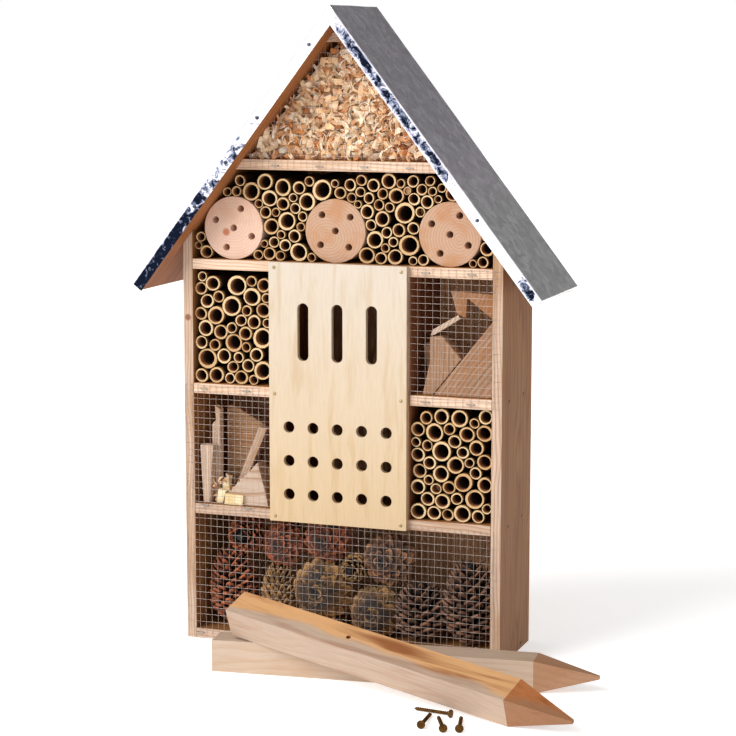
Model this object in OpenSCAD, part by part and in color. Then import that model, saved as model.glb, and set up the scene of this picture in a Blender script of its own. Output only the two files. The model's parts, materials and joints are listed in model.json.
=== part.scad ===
// Insect hotel: a boarded house with a galvanised roof, filled with canes, reeds, drilled logs,
// shavings, offcuts and pine cones, and the two loose stakes and screws that it stands on.
// X runs to the right, Y to the back and Z up. The origin is the centre of the house's underside.

/* [House] */
// Width over the side boards
body_w = 320; // [240:1:420]
// Depth from the front edges of the boards to the back face of the back panel
body_d = 100; // [80:1:160]
// Thickness of the boards
board_t = 10; // [8:0.5:12]
// Thickness of the back panel
back_t = 5; // [3:0.5:8]
// Height at which the roof meets the outside of the side boards
wall_h = 388; // [386:1:460]

/* [Shelves] */
// Underside of the shelf over the pine cones
lower_shelf_z = 125; // [115:1:135]
// Underside of the three middle shelves
mid_shelf_z = 243.5; // [225:0.5:262]
// Underside of the shelf under the log gallery
upper_shelf_z = 364; // [350:1:370]
// Underside of the shelf under the gable
top_shelf_z = 460; // [455:1:480]
// Width over the two dividers of the middle compartment
centre_w = 140; // [110:1:150]

/* [Roof] */
// Slope of the roof, in degrees
roof_pitch = 52.3; // [48:0.1:56]
// How far the roof reaches past the side boards, measured level
eave_over = 42; // [20:1:60]
// How far the roof reaches past the front
front_over = 22; // [10:1:40]
// How far the roof reaches past the back
rear_over = 6; // [2:1:20]
// Thickness of the roof sheet
sheet_t = 0.8; // [0.5:0.1:1.5]
// Depth of the sheet's turned-down front and back edges
flange_w = 11; // [6:0.5:14]
// Depth of the sheet's turned-down eaves
lip_w = 5; // [3:0.5:8]
// Depth of the block under the ridge
ridge_block_h = 16; // [10:1:24]

/* [Front plate] */
// Width of the plate
plate_w = 138; // [108:1:148]
// Thickness of the plate
plate_t = 5.5; // [4:0.5:9]
// Width of a slot
slot_w = 11; // [8:0.5:16]
// Height of a slot
slot_h = 55; // [40:1:70]
// Distance between slots
slot_pitch = 34.3; // [26:0.1:38]
// Height of the middle of the slots
slot_z = 308.5; // [300:0.5:316]
// Diameter of a round entrance
hole_d = 11; // [6:0.5:14]
// Distance between round entrances, across
hole_pitch_x = 24.5; // [18:0.1:26]
// Distance between round entrances, upwards
hole_pitch_z = 32.5; // [20:0.1:34]
// Height of the middle row of round entrances
hole_z = 184.5; // [178:0.5:190]

/* [Wire mesh] */
// Thickness of the wire
wire_d = 0.6; // [0.4:0.1:1.2]
// Distance between wires, the closer way
wire_close = 6.35; // [5:0.05:8]
// Distance between wires, the wider way
wire_wide = 7.4; // [6:0.05:9]

/* [Filling] */
// Gap between pieces that are packed loosely together
fill_gap = 0.25; // [0.1:0.05:0.5]
// How far the fronts of the canes lie behind the front edges
cane_recess = 3; // [1:0.5:8]
// Wall of a cane or reed, as a share of its diameter
cane_wall = 0.13; // [0.08:0.01:0.2]
// Diameter of a cane that counts as bamboo and not as reed
cane_min_d = 14.5; // [12:0.5:18]
// Diameter of a drilled log
log_d = 60; // [50:1:62]
// Diameter of the hole drilled in a log
log_hole_d = 6.5; // [5:0.5:9]
// Distance of a log's outer holes from its middle
log_hole_ring = 20; // [12:0.5:23]
// Depth of the holes drilled in a log
log_hole_depth = 70; // [40:1:72]

/* [Stakes] */
// Width of a stake's square section
stake_w = 30; // [24:1:40]
// Length of a stake
stake_len = 360; // [280:1:480]
// Length of a stake's point
stake_point = 58; // [40:1:80]
// Diameter of the screw hole through a stake
stake_hole_d = 4.5; // [3.5:0.1:6]
// Distance of the screw hole from a stake's blunt end
stake_hole_at = 130; // [90:1:180]
// Length of a stake screw
screw_len = 40; // [30:1:44]
// Diameter of a stake screw
screw_d = 4; // [3:0.1:4.4]

/* [Hidden] */

$fn = 48;
eps = 0.01;

// House, seen from the front
half_w = body_w / 2;
half_in = half_w - board_t;
half_centre = centre_w / 2;
front_y = -body_d / 2;
panel_y = body_d / 2 - back_t;
plate_half = plate_w / 2;
bay_w = half_in - half_centre;

// Roof. A roof point is given by its distance down the slope from the ridge and by its height
// over the underside of the roof boards.
ridge_z = wall_h + half_w * tan(roof_pitch);
slope_len = (half_w + eave_over - board_t * sin(roof_pitch)) / cos(roof_pitch);
sheet_top = board_t + sheet_t;
function roof_pt(s, h) = [s * cos(roof_pitch) + h * sin(roof_pitch),
    ridge_z - s * sin(roof_pitch) + h * cos(roof_pitch)];
function ridge_pt(h) = [0, ridge_z + h / cos(roof_pitch)];
function roof_under_z(x) = ridge_z - abs(x) * tan(roof_pitch);
function roof_under_x(z) = (ridge_z - z) / tan(roof_pitch);

// Extrudes an outline in X and Z from y0 to y1
module across(y0, y1) {
    translate([0, y1, 0]) rotate([90, 0, 0]) linear_extrude(y1 - y0) children();
}

module level_board(x0, x1, z) {
    translate([x0, front_y, z]) cube([x1 - x0, panel_y - front_y, board_t]);
}

// ---- Boards ----

// A side board, with its top cut to the slope of the roof
module side_board(inner, outer) {
    color("burlywood") across(front_y, panel_y) polygon([
        [inner, 0],
        [outer, 0],
        [outer, roof_under_z(outer)],
        [inner, roof_under_z(inner)]
    ]);
}

module left_side() {
    side_board(-half_in, -half_w);
}

module right_side() {
    side_board(half_in, half_w);
}

module base_board() {
    color("burlywood") level_board(-half_in, half_in, 0);
}

module lower_shelf() {
    color("burlywood") level_board(-half_in, half_in, lower_shelf_z);
}

module mid_shelf_left() {
    color("burlywood") level_board(-half_in, -half_centre, mid_shelf_z);
}

module mid_shelf_centre() {
    color("burlywood") level_board(-half_centre + board_t, half_centre - board_t, mid_shelf_z);
}

module mid_shelf_right() {
    color("burlywood") level_board(half_centre, half_in, mid_shelf_z);
}

module upper_shelf() {
    color("burlywood") level_board(-half_in, half_in, upper_shelf_z);
}

// The gable's floor, with its ends cut to the slope of the roof
module top_shelf() {
    low = roof_under_x(top_shelf_z);
    high = roof_under_x(top_shelf_z + board_t);
    color("burlywood") across(front_y, panel_y) polygon([
        [-low, top_shelf_z],
        [low, top_shelf_z],
        [high, top_shelf_z + board_t],
        [-high, top_shelf_z + board_t]
    ]);
}

module divider(x0) {
    z0 = lower_shelf_z + board_t;
    color("burlywood") translate([x0, front_y, z0])
        cube([board_t, panel_y - front_y, upper_shelf_z - z0]);
}

module divider_left() {
    divider(-half_centre);
}

module divider_right() {
    divider(half_centre - board_t);
}

module back_panel() {
    color("peru") across(panel_y, panel_y + back_t) polygon([
        [-half_w, 0],
        [half_w, 0],
        [half_w, wall_h],
        [0, ridge_z],
        [-half_w, wall_h]
    ]);
}

// ---- Roof ----

module roof_board_outline() {
    polygon([ridge_pt(0), ridge_pt(board_t), roof_pt(slope_len, board_t), roof_pt(slope_len, 0)]);
}

roof_front_y = front_y - front_over + sheet_t;
roof_back_y = body_d / 2 + rear_over - sheet_t;

module roof_board_right() {
    color("sienna") across(roof_front_y, roof_back_y) roof_board_outline();
}

module roof_board_left() {
    color("sienna") across(roof_front_y, roof_back_y) mirror([1, 0]) roof_board_outline();
}

// The block that the two roof boards are nailed to
module ridge_block() {
    z0 = ridge_z - ridge_block_h;
    color("tan") across(front_y, panel_y) polygon([
        [-roof_under_x(z0), z0],
        [roof_under_x(z0), z0],
        [0, ridge_z]
    ]);
}

// One half of the sheet's section: the slope and the lip at its eave
module sheet_section() {
    polygon([
        ridge_pt(board_t),
        ridge_pt(sheet_top),
        roof_pt(slope_len + sheet_t, sheet_top),
        roof_pt(slope_len + sheet_t, board_t - lip_w),
        roof_pt(slope_len, board_t - lip_w),
        roof_pt(slope_len, board_t)
    ]);
}

// One half of the edge that is turned down over the ends of the roof boards
module flange_section() {
    polygon([
        ridge_pt(sheet_top - flange_w),
        ridge_pt(sheet_top),
        roof_pt(slope_len + sheet_t, sheet_top),
        roof_pt(slope_len + sheet_t, sheet_top - flange_w)
    ]);
}

module both_slopes() {
    children();
    mirror([1, 0]) children();
}

module roof_sheet() {
    color("silver") {
        across(roof_front_y - sheet_t, roof_back_y + sheet_t) both_slopes() sheet_section();
        across(roof_front_y - sheet_t, roof_front_y) both_slopes() flange_section();
        across(roof_back_y, roof_back_y + sheet_t) both_slopes() flange_section();
    }
}

// ---- Nails and staples ----

// A nail driven towards +Y, with the underside of its head at the origin
module nail(head_d, shank_d, len) {
    rotate([-90, 0, 0]) {
        translate([0, 0, -0.9]) cylinder(d = head_d, h = 0.9);
        translate([0, 0, -eps]) cylinder(d = shank_d, h = len);
    }
}

// Distances down the slope from the ridge, placed by eye as a nailer does
right_roof_nails = [24, 72, 154, 225, 302];
left_roof_nails = [27, 112, 165, 218, 295];

module roof_nails() {
    color("dimgray") {
        for (s = right_roof_nails) roof_nail(s, 1);
        for (s = left_roof_nails) roof_nail(s, -1);
    }
}

module roof_nail(s, side) {
    p = roof_pt(s, board_t / 2);
    translate([side * p[0], roof_front_y - sheet_t, p[1]]) nail(4.2, 1.8, 20);
}

plate_bottom = lower_shelf_z;
plate_top = upper_shelf_z + board_t;
plate_nail_x = plate_half - 5.5;
plate_nail_z = [lower_shelf_z + board_t / 2, mid_shelf_z + board_t / 2, upper_shelf_z + board_t / 2];

module plate_nails() {
    color("darkgray") for (z = plate_nail_z, side = [-1, 1])
        translate([side * plate_nail_x, front_y - plate_t, z]) nail(3.6, 1.6, 24);
}

// Nails through the side boards into the ends of the shelves
module frame_nails() {
    board_d = panel_y - front_y;
    levels = [0, lower_shelf_z, mid_shelf_z, upper_shelf_z];
    color("darkgray") for (z = levels, y = [front_y + board_d / 4, panel_y - board_d / 4], side = [-1, 1])
        translate([side * half_w, y, z + board_t / 2]) rotate([0, 0, side * 90]) nail(3.6, 1.6, 30);
}

// ---- Front plate ----

module front_plate() {
    color("wheat") across(front_y - plate_t, front_y) difference() {
        translate([-plate_half, plate_bottom]) square([plate_w, plate_top - plate_bottom]);
        for (i = [-2:2], j = [-1:1])
            translate([i * hole_pitch_x, hole_z + j * hole_pitch_z]) circle(d = hole_d);
        for (i = [-1:1]) translate([i * slot_pitch, slot_z]) {
            square([slot_w, slot_h - slot_w], center = true);
            for (end = [-1, 1]) translate([0, end * (slot_h - slot_w) / 2]) circle(d = slot_w);
        }
    }
}

// ---- Wire mesh ----
// Each panel has a layer of level wires on the boards and a layer of upright wires in front.

level_y = front_y - wire_d / 2 - 0.02;
upright_y = level_y - wire_d - 0.02;
mesh_front_y = upright_y - wire_d / 2;
mesh_edge = 1.5;

module level_wire(x0, x1, z) {
    translate([x0, level_y, z]) rotate([0, 90, 0]) cylinder(d = wire_d, h = x1 - x0, $fn = 16);
}

module upright_wire(x, z0, z1) {
    translate([x, upright_y, z0]) cylinder(d = wire_d, h = z1 - z0, $fn = 16);
}

// Number of whole cells of one width that fit between two ends
function cells(a, b, pitch) = floor((b - a) / pitch);

module mesh_panel(x0, x1, z0, z1, px, pz) {
    nx = cells(x0, x1, px);
    nz = cells(z0, z1, pz);
    color("gainsboro") {
        for (i = [0:nx]) upright_wire(x0 + wire_d / 2 + i * px, z0, z1);
        for (j = [0:nz]) level_wire(x0, x1, z0 + wire_d / 2 + j * pz);
    }
}

side_mesh_w = half_w - mesh_edge - plate_half - mesh_edge;
left_mesh_x = -half_w + mesh_edge;
right_mesh_x = plate_half + mesh_edge;
left_mesh_z = lower_shelf_z + board_t / 2 + 0.5;
right_mesh_z = mid_shelf_z + 1;
bottom_mesh_top = lower_shelf_z + board_t / 2 - 0.5;

module left_mesh() {
    mesh_panel(left_mesh_x, left_mesh_x + side_mesh_w, left_mesh_z, mid_shelf_z + board_t - 1,
        wire_close, wire_close);
}

module right_mesh() {
    mesh_panel(right_mesh_x, right_mesh_x + side_mesh_w, right_mesh_z, upper_shelf_z + board_t - 1,
        wire_wide, wire_close);
}

// The long panel under the plate: its wires stop short of the plate's lower edge
module bottom_mesh() {
    x0 = -half_w + mesh_edge;
    x1 = half_w - mesh_edge;
    z0 = 2;
    under_plate = plate_bottom - 0.5;
    nz = cells(z0, under_plate, wire_wide);
    color("gainsboro") {
        for (i = [0:cells(x0, x1, wire_close)]) {
            x = x0 + wire_d / 2 + i * wire_close;
            upright_wire(x, z0, abs(x) < plate_half + 1 ? under_plate : bottom_mesh_top);
        }
        for (j = [0:nz]) level_wire(x0, x1, z0 + wire_d / 2 + j * wire_wide);
    }
}

// The gable's panel, cut to the slopes of the roof
gable_mesh_z = top_shelf_z + 1;

module gable_mesh() {
    z0 = gable_mesh_z;
    half = roof_under_x(z0) - mesh_edge;
    nx = cells(0, half, wire_close);
    nz = cells(z0, ridge_z - 20, wire_close);
    color("gainsboro") {
        for (i = [-nx:nx]) upright_wire(i * wire_close, z0, roof_under_z(i * wire_close) - mesh_edge);
        for (j = [0:nz]) {
            z = z0 + wire_d / 2 + j * wire_close;
            x = roof_under_x(z) - mesh_edge;
            level_wire(-x, x, z);
        }
    }
}

// A staple over one upright wire: its two legs pass through the middles of two cells
module staple(x, z, width) {
    leg = 0.9;
    crown_y = mesh_front_y - 0.05 - leg;
    translate([x - width / 2 - leg / 2, crown_y, z - leg / 2]) cube([width + leg, leg, leg]);
    for (side = [-1, 1]) translate([x + side * width / 2 - leg / 2, crown_y, z - leg / 2])
        cube([leg, front_y + 8 - crown_y, leg]);
}

// Staple at upright wire i and in cell row j of a panel
module panel_staple(x0, z0, px, pz, i, j) {
    staple(x0 + wire_d / 2 + i * px, z0 + wire_d / 2 + (j + 0.5) * pz, px);
}

module mesh_staples() {
    side_cells = cells(0, side_mesh_w, wire_close);
    wide_cells = cells(0, side_mesh_w, wire_wide);
    left_rows = cells(left_mesh_z, mid_shelf_z + board_t - 1, wire_close);
    right_rows = cells(right_mesh_z, upper_shelf_z + board_t - 1, wire_close);
    bottom_cells = cells(0, body_w - 2 * mesh_edge, wire_close);
    bottom_x = -half_w + mesh_edge;
    color("silver") {
        // Shelves over and under the left panel
        for (i = [3, side_cells - 3]) {
            panel_staple(left_mesh_x, left_mesh_z, wire_close, wire_close, i, left_rows - 1);
            panel_staple(left_mesh_x, left_mesh_z, wire_close, wire_close, i, 0);
        }
        // Shelves over and under the right panel
        for (i = [2, wide_cells - 3]) {
            panel_staple(right_mesh_x, right_mesh_z, wire_wide, wire_close, i, right_rows - 1);
            panel_staple(right_mesh_x, right_mesh_z, wire_wide, wire_close, i, 0);
        }
        // Base board under the long panel
        for (i = [2, round(bottom_cells / 3), round(bottom_cells * 2 / 3), bottom_cells - 3])
            panel_staple(bottom_x, 2, wire_close, wire_wide, i, 0);
        // Gable floor
        for (i = [-10, -3, 4, 11]) panel_staple(-wire_d / 2, gable_mesh_z, wire_close, wire_close, i, 0);
    }
}

// ---- Packing of the round filling ----
// A placed circle is [x, z, r]. A wall is [nx, nz, c], and a centre p keeps n * p - c of at least r.

function on_two(a, b, r) = let (
        ra = a[2] + r,
        rb = b[2] + r,
        v = [b[0] - a[0], b[1] - a[1]],
        d = norm(v)
    ) d > ra + rb || d < 0.1 ? [] : let (
        t = (d * d + ra * ra - rb * rb) / (2 * d),
        h = sqrt(max(0, ra * ra - t * t)),
        foot = [a[0], a[1]] + v * t / d,
        side = [-v[1], v[0]] * h / d
    ) [foot + side, foot - side];

function on_wall(a, w, r) = let (
        t = w[2] + r - w[0] * a[0] - w[1] * a[1],
        reach = a[2] + r
    ) abs(t) > reach ? [] : let (
        h = sqrt(reach * reach - t * t),
        foot = [a[0] + w[0] * t, a[1] + w[1] * t]
    ) [foot + [-w[1], w[0]] * h, foot - [-w[1], w[0]] * h];

function in_corner(v, w, r) = let (
        det = v[0] * w[1] - v[1] * w[0]
    ) abs(det) < 0.01 ? [] :
    [[(v[2] + r) * w[1] - (w[2] + r) * v[1], v[0] * (w[2] + r) - w[0] * (v[2] + r)] / det];

function inside_walls(p, r, walls) = len([
    for (w = walls) if (w[0] * p[0] + w[1] * p[1] - w[2] < r - 0.001) 1
]) == 0;

function clear_of(p, r, placed) = len([
    for (q = placed) if (norm([p[0] - q[0], p[1] - q[1]]) < q[2] + r - 0.001) 1
]) == 0;

// Every place where a circle of radius r rests against two of the others
function resting_places(r, walls, placed) = let (
        n = len(placed),
        m = len(walls),
        found = concat(
            [for (i = [0:1:n - 2], j = [i + 1:1:n - 1]) each on_two(placed[i], placed[j], r)],
            [for (a = placed, w = walls) each on_wall(a, w, r)],
            [for (i = [0:1:m - 2], j = [i + 1:1:m - 1]) each in_corner(walls[i], walls[j], r)]
        )
    ) [for (p = found) if (inside_walls(p, r, walls) && clear_of(p, r, placed)) p];

function lowest(places) = let (z = min([for (p = places) p[1]])) [for (p = places) if (p[1] == z) p][0];

// Lays circles of the listed diameters one by one, each at the lowest place that is still free
function lay_in(diameters, walls, placed, count, i = 0) = i == count ? placed : let (
        r = (diameters[i % len(diameters)] + fill_gap) / 2,
        places = resting_places(r, walls, placed),
        added = len(places) == 0 ? [] : [concat(lowest(places), r)]
    ) lay_in(diameters, walls, concat(placed, added), count, i + 1);

// Walls of a rectangular compartment
function bay_walls(x0, x1, z0, z1) = [[1, 0, x0], [-1, 0, -x1], [0, 1, z0], [0, -1, -z1]];

// ---- Canes, reeds and logs ----

// Front face of the cane of index i: no two neighbours lie equally deep
function cane_front(i) = front_y + cane_recess + (i * 7 % 5) * 0.6;

// A hollow stem from its front face to just short of the back panel
module cane(c, i) {
    d = 2 * c[2] - fill_gap;
    bore = d * (1 - 2 * cane_wall);
    y0 = cane_front(i);
    translate([c[0], y0, c[1]]) rotate([-90, 0, 0]) difference() {
        cylinder(d = d, h = panel_y - fill_gap - y0);
        translate([0, 0, -1]) cylinder(d = bore, h = body_d + 2);
    }
}

// The stems of one compartment whose diameter lies in a range
module canes(list, first, d_min, d_max) {
    for (i = [first:1:len(list) - 1]) {
        d = 2 * list[i][2] - fill_gap;
        if (d >= d_min && d < d_max) cane(list[i], i);
    }
}

gallery_z = upper_shelf_z + board_t;
log_r = (log_d + fill_gap) / 2;
// The outer logs lie as far out as the slope of the roof lets them
log_z = gallery_z + log_r;
log_reach = roof_under_x(log_z) - log_r / sin(roof_pitch) - 1;
log_x = [-log_reach, -5, log_reach - 1];
gallery_logs = [for (x = log_x) [x, log_z, log_r]];
gallery_sizes = [13, 10, 9, 16, 11, 8, 13, 18, 12, 9, 11, 15, 10, 20, 8, 12, 14, 9, 11, 17, 10];
gallery_walls = concat(
    bay_walls(-half_in, half_in, gallery_z, top_shelf_z),
    [for (side = [-1, 1]) [side * sin(roof_pitch), -cos(roof_pitch), -ridge_z * cos(roof_pitch)]]
);

module gallery(d_min, d_max) {
    list = lay_in(gallery_sizes, gallery_walls, gallery_logs, 84);
    canes(list, len(gallery_logs), d_min, d_max);
}

left_bay_sizes = [14, 16, 11, 14, 10, 18, 12, 20, 13, 15, 11, 14, 18, 12, 20, 10, 13, 15];

module left_bay(d_min, d_max) {
    walls = bay_walls(-half_in, -half_centre, mid_shelf_z + board_t, upper_shelf_z);
    canes(lay_in(left_bay_sizes, walls, [], 44), 0, d_min, d_max);
}

right_bay_sizes = [16, 14, 12, 17, 13, 15, 10, 19, 14, 12, 15, 11, 13, 18, 15, 10];

module right_bay(d_min, d_max) {
    walls = bay_walls(half_centre, half_in, lower_shelf_z + board_t, mid_shelf_z);
    canes(lay_in(right_bay_sizes, walls, [], 44), 0, d_min, d_max);
}

module gallery_canes() {
    color("khaki") gallery(cane_min_d, log_d);
}

module gallery_reeds() {
    color("wheat") gallery(0, cane_min_d);
}

module left_bay_canes() {
    color("khaki") left_bay(cane_min_d, log_d);
}

module left_bay_reeds() {
    color("wheat") left_bay(0, cane_min_d);
}

module right_bay_canes() {
    color("khaki") right_bay(cane_min_d, log_d);
}

module right_bay_reeds() {
    color("wheat") right_bay(0, cane_min_d);
}

// A piece of log with five blind holes, turned by some angle
module drilled_log(i, turn) {
    y0 = front_y + cane_recess + 1;
    translate([log_x[i], y0, log_z]) rotate([-90, 0, 0]) difference() {
        cylinder(d = log_d, h = panel_y - fill_gap - y0, $fn = 96);
        translate([0, 0, -1]) cylinder(d = log_hole_d, h = log_hole_depth + 1);
        for (a = [0:90:270]) rotate([0, 0, turn + a]) translate([log_hole_ring, 0, -1])
            cylinder(d = log_hole_d, h = log_hole_depth + 1);
    }
}

module log_left() {
    color("tan") drilled_log(0, 22);
}

module log_middle() {
    color("tan") drilled_log(1, 48);
}

module log_right() {
    color("tan") drilled_log(2, 28);
}

// ---- Gable filling ----

module gable_shavings() {
    inset = 1.5;
    z0 = top_shelf_z + board_t + 0.3;
    z1 = ridge_z - 30;
    color("sandybrown") across(front_y + 2, panel_y - 0.3) polygon([
        [-roof_under_x(z0) + inset, z0],
        [roof_under_x(z0) - inset, z0],
        [roof_under_x(z1) - inset, z1 - 4],
        [2, z1],
        [-roof_under_x(z1) + inset, z1 - 6]
    ]);
}

// ---- Offcuts in the lower left compartment ----
// Places are measured from the compartment's inner corner at the side board.

offcut_gap = 0.3;
left_floor = lower_shelf_z + board_t + offcut_gap;

// Outline in X and Z with its origin at the left side board and the lower shelf
module left_offcut(y0, y1) {
    translate([-half_in, 0, left_floor]) across(front_y + y0, front_y + y1) children();
}

module left_plank() {
    color("bisque") left_offcut(4, 14) polygon([[7, 0], [14, 0], [18, 57], [4, 57]]);
}

module left_lath() {
    color("bisque") left_offcut(15, 24) polygon([[11, 0], [20, 0], [21, 91], [15, 95], [16, 80], [12, 76]]);
}

module left_board() {
    color("peru") left_offcut(36, 46) polygon([[18, 0], [36, 0], [40, 40], [60, 74], [27, 92], [19, 92]]);
}

module left_strut() {
    color("bisque") left_offcut(25, 35) polygon([[26, 0], [36, 4], [66, 73], [57, 74]]);
}

module left_wedge() {
    color("bisque") left_offcut(5, 24) polygon([[34, 0], [75, 0], [72, 14], [64, 43], [36, 14]]);
}

// Small chips that fill the foot of the compartment
module left_chips() {
    color("moccasin") {
        left_offcut(2, 4.5) polygon([[30, 0], [49, 0], [50, 10], [31, 11]]);
        left_offcut(6, 12) polygon([[20, 0], [27, 1], [30, 13], [22, 14]]);
        left_offcut(13, 20) polygon([[22, 0], [32, 0], [30, 26], [24, 22]]);
        left_offcut(47, 60) polygon([[8, 0], [30, 0], [26, 18], [12, 22]]);
        left_offcut(50, 70) polygon([[38, 0], [70, 0], [66, 22], [44, 30]]);
    }
}

// ---- Offcuts in the upper right compartment ----

right_floor = mid_shelf_z + board_t + offcut_gap;

// Outline in X and Z with its origin at the foot of the right side board, X leading inwards
module right_offcut(y0, y1) {
    translate([half_in, 0, right_floor]) across(front_y + y0, front_y + y1) mirror([1, 0]) children();
}

// The large wedge that stands against the side board
module right_wedge() {
    color("burlywood") right_offcut(4, 22) polygon([[0.3, 0], [58, 0], [0.3, 72]]);
}

// The block that leans on the wedge
module right_block() {
    color("peru") right_offcut(5, 20) polygon([[59, 0], [69, 0], [62, 31], [62, 55], [50, 56], [31, 35.2]]);
}

// The lath on top of the block
module right_lath() {
    color("bisque") right_offcut(7, 17) polygon([[62, 55.5], [59.5, 61.5], [35, 76], [33, 72.5], [58, 56.5]]);
}

// The notched board on top of the wedge
module right_board() {
    color("tan") right_offcut(6, 18) polygon([
        [0.3, 72.5], [8, 78], [26, 92], [27.5, 73.5], [36, 77], [42, 98], [0.3, 96]]);
}

// A round twig that leans in the back corner
module right_twig() {
    twig_d = 9;
    lean = 24;
    color("peru") translate([half_centre + 8, front_y + 50, right_floor + twig_d / 2 * sin(lean)])
        rotate([lean, 0, 0]) cylinder(d = twig_d, h = 46);
}

// ---- Pine cones ----
// A cone is [x, radius, length, way]. Way 0 turns its stalk to the front, 1 turns its tip to the
// front and 2 stands it on its stalk. Each one lies on what was laid before it.

cones = [
    [-124, 22, 80, 2],
    [-75, 17, 66, 2],
    [-29, 30, 62, 0],
    [26, 24, 58, 0],
    [72, 21, 60, 2],
    [121, 27, 84, 2],
    [6, 13, 40, 1],
    [-107, 17, 42, 1],
    [-70, 18, 54, 0],
    [-24, 21, 56, 0],
    [38, 20, 52, 0]
];
cone_floor = board_t + 0.2;
cone_y = front_y + 33;
cone_share = 0.35;
cone_rings = 10;

// Height at which the middle of a cone of radius r at x rests on the circles laid before it
function cone_rest(x, r, placed) = max(concat(
    [cone_floor + r],
    [for (q = placed) let (reach = r + q[2] + fill_gap) if (abs(x - q[0]) < reach)
        q[1] + sqrt(reach * reach - pow(x - q[0], 2))]
));

// Circles that a cone fills in its middle plane: one if it lies down, its scale tips if it stands
function cone_circles(c, placed) = c[3] == 2
    ? concat([[c[0], cone_floor + c[2], 0]], [for (i = [0:cone_rings - 1], side = [-1, 1])
        let (t = (i + 0.5) / cone_rings)
        [c[0] + side * c[1] * cone_outline(t), cone_floor + t * c[2], 0]])
    : [[c[0], cone_rest(c[0], c[1], placed), c[1]]];

// All circles of the cones before number i
function laid_before(i) = i == 0 ? [] : let (
        before = laid_before(i - 1)
    ) concat(before, cone_circles(cones[i - 1], before));

// Radius of the outline at a share t of the length from the stalk
function cone_outline(t) = sqrt(1 - pow((t - cone_share) / (t < cone_share ? 0.42 : 0.68), 2));

// A solid of revolution whose outline steps out at every ring of scales
module cone_body(r, len) {
    rotate_extrude($fn = 40) polygon(concat(
        [[0, 0]],
        [for (i = [0:cone_rings - 1]) let (t = (i + 0.5) / cone_rings, edge = r * cone_outline(t))
            each [[edge * 0.72, len * i / cone_rings], [edge, len * t]]],
        [[0, len]]
    ));
}

module pine_cone(i) {
    x = cones[i][0];
    r = cones[i][1];
    len = cones[i][2];
    way = cones[i][3];
    color("saddlebrown") {
        if (way == 2) translate([x, cone_y, cone_floor]) cone_body(r, len);
        if (way != 2) translate([x, cone_y, cone_rest(x, r, laid_before(i))])
            rotate([way == 0 ? -90 : 90, 0, 0]) translate([0, 0, -cone_share * len]) cone_body(r, len);
    }
}

// ---- Stakes and screws ----

// A stake along +X from the middle of its blunt end
module stake() {
    tip = 3;
    difference() {
        intersection() {
            translate([0, stake_w / 2, 0]) rotate([90, 0, 0]) linear_extrude(stake_w) stake_outline(tip);
            translate([0, 0, -stake_w / 2]) linear_extrude(stake_w) stake_outline(tip);
        }
        translate([stake_hole_at, 0, -stake_w]) cylinder(d = stake_hole_d, h = 2 * stake_w);
    }
}

module stake_outline(tip) {
    shoulder = stake_len - stake_point;
    polygon([
        [0, -stake_w / 2],
        [shoulder, -stake_w / 2],
        [stake_len, -tip / 2],
        [stake_len, tip / 2],
        [shoulder, stake_w / 2],
        [0, stake_w / 2]
    ]);
}

// The lower stake lies flat. The middle of its blunt end is at lower_stake_at.
lie_gap = 0.2;
lower_stake_turn = 6.2;
lower_stake_at = [-90.5, front_y - 86.1];

// The upper stake lies across it: the lowest edge of its shaft rests on the front top edge of the
// lower stake and, at the shoulder of its point, on the ground at upper_stake_at.
upper_stake_turn = -15;
upper_stake_roll = 24.5;
upper_stake_at = [216.6, front_y - 167.8];

function turned(p, a) = [p[0] * cos(a) - p[1] * sin(a), p[0] * sin(a) + p[1] * cos(a)];
function crossed(a, b) = a[0] * b[1] - a[1] * b[0];

// Level distance from the shoulder of the upper stake back to where it crosses the lower one
front_edge = lower_stake_at + turned([0, -stake_w / 2], lower_stake_turn);
front_way = turned([1, 0], lower_stake_turn);
back_way = turned([-1, 0], upper_stake_turn);
crossing = crossed(front_edge - upper_stake_at, front_way) / crossed(back_way, front_way);
upper_stake_dip = atan((stake_w + lie_gap / 2) / crossing);

module stake_lower() {
    color("navajowhite") translate([lower_stake_at[0], lower_stake_at[1], stake_w / 2])
        rotate([0, 0, lower_stake_turn]) stake();
}

module stake_upper() {
    low = [-stake_w / 2, -stake_w / 2];
    low_edge = turned(low, upper_stake_roll);
    color("navajowhite") translate([upper_stake_at[0], upper_stake_at[1], lie_gap])
        rotate([0, 0, upper_stake_turn]) rotate([0, upper_stake_dip, 0])
        translate([stake_point - stake_len, -low_edge[0], -low_edge[1]])
        rotate([upper_stake_roll, 0, 0]) stake();
}

screw_point = 1.6 * screw_d;

// A countersunk wood screw along +X from the face of its head
module wood_screw() {
    head = 2 * screw_d;
    head_h = 0.7 * screw_d;
    rotate([0, 90, 0]) difference() {
        union() {
            cylinder(d = head, h = 0.5);
            translate([0, 0, 0.5]) cylinder(d1 = head, d2 = screw_d, h = head_h);
            translate([0, 0, 0.5 + head_h]) cylinder(d = screw_d, h = screw_len - screw_point - head_h - 0.5);
            translate([0, 0, screw_len - screw_point]) cylinder(d1 = screw_d, d2 = 0.4, h = screw_point);
        }
        for (a = [0, 90]) rotate([0, 0, a]) translate([-head / 4, -0.4, -1]) cube([head / 2, 0.8, 2.2]);
    }
}

// Places of the screws' heads on the ground and the way their points lead
screw_places = [[149, -199, 96], [164, -161, 163], [170, -202, 114], [183, -198, 105]];

// A screw that lies on the ground, on the rim of its head and on the start of its point
module lying_screw(x, y, turn) {
    dip = asin(screw_d / 2 / (screw_len - screw_point));
    translate([x, front_y + y, screw_d * cos(dip) + 0.05])
        rotate([0, 0, turn]) rotate([0, dip, 0]) wood_screw();
}

module stake_screws() {
    color("goldenrod") for (p = screw_places) lying_screw(p[0], p[1], p[2]);
}

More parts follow.
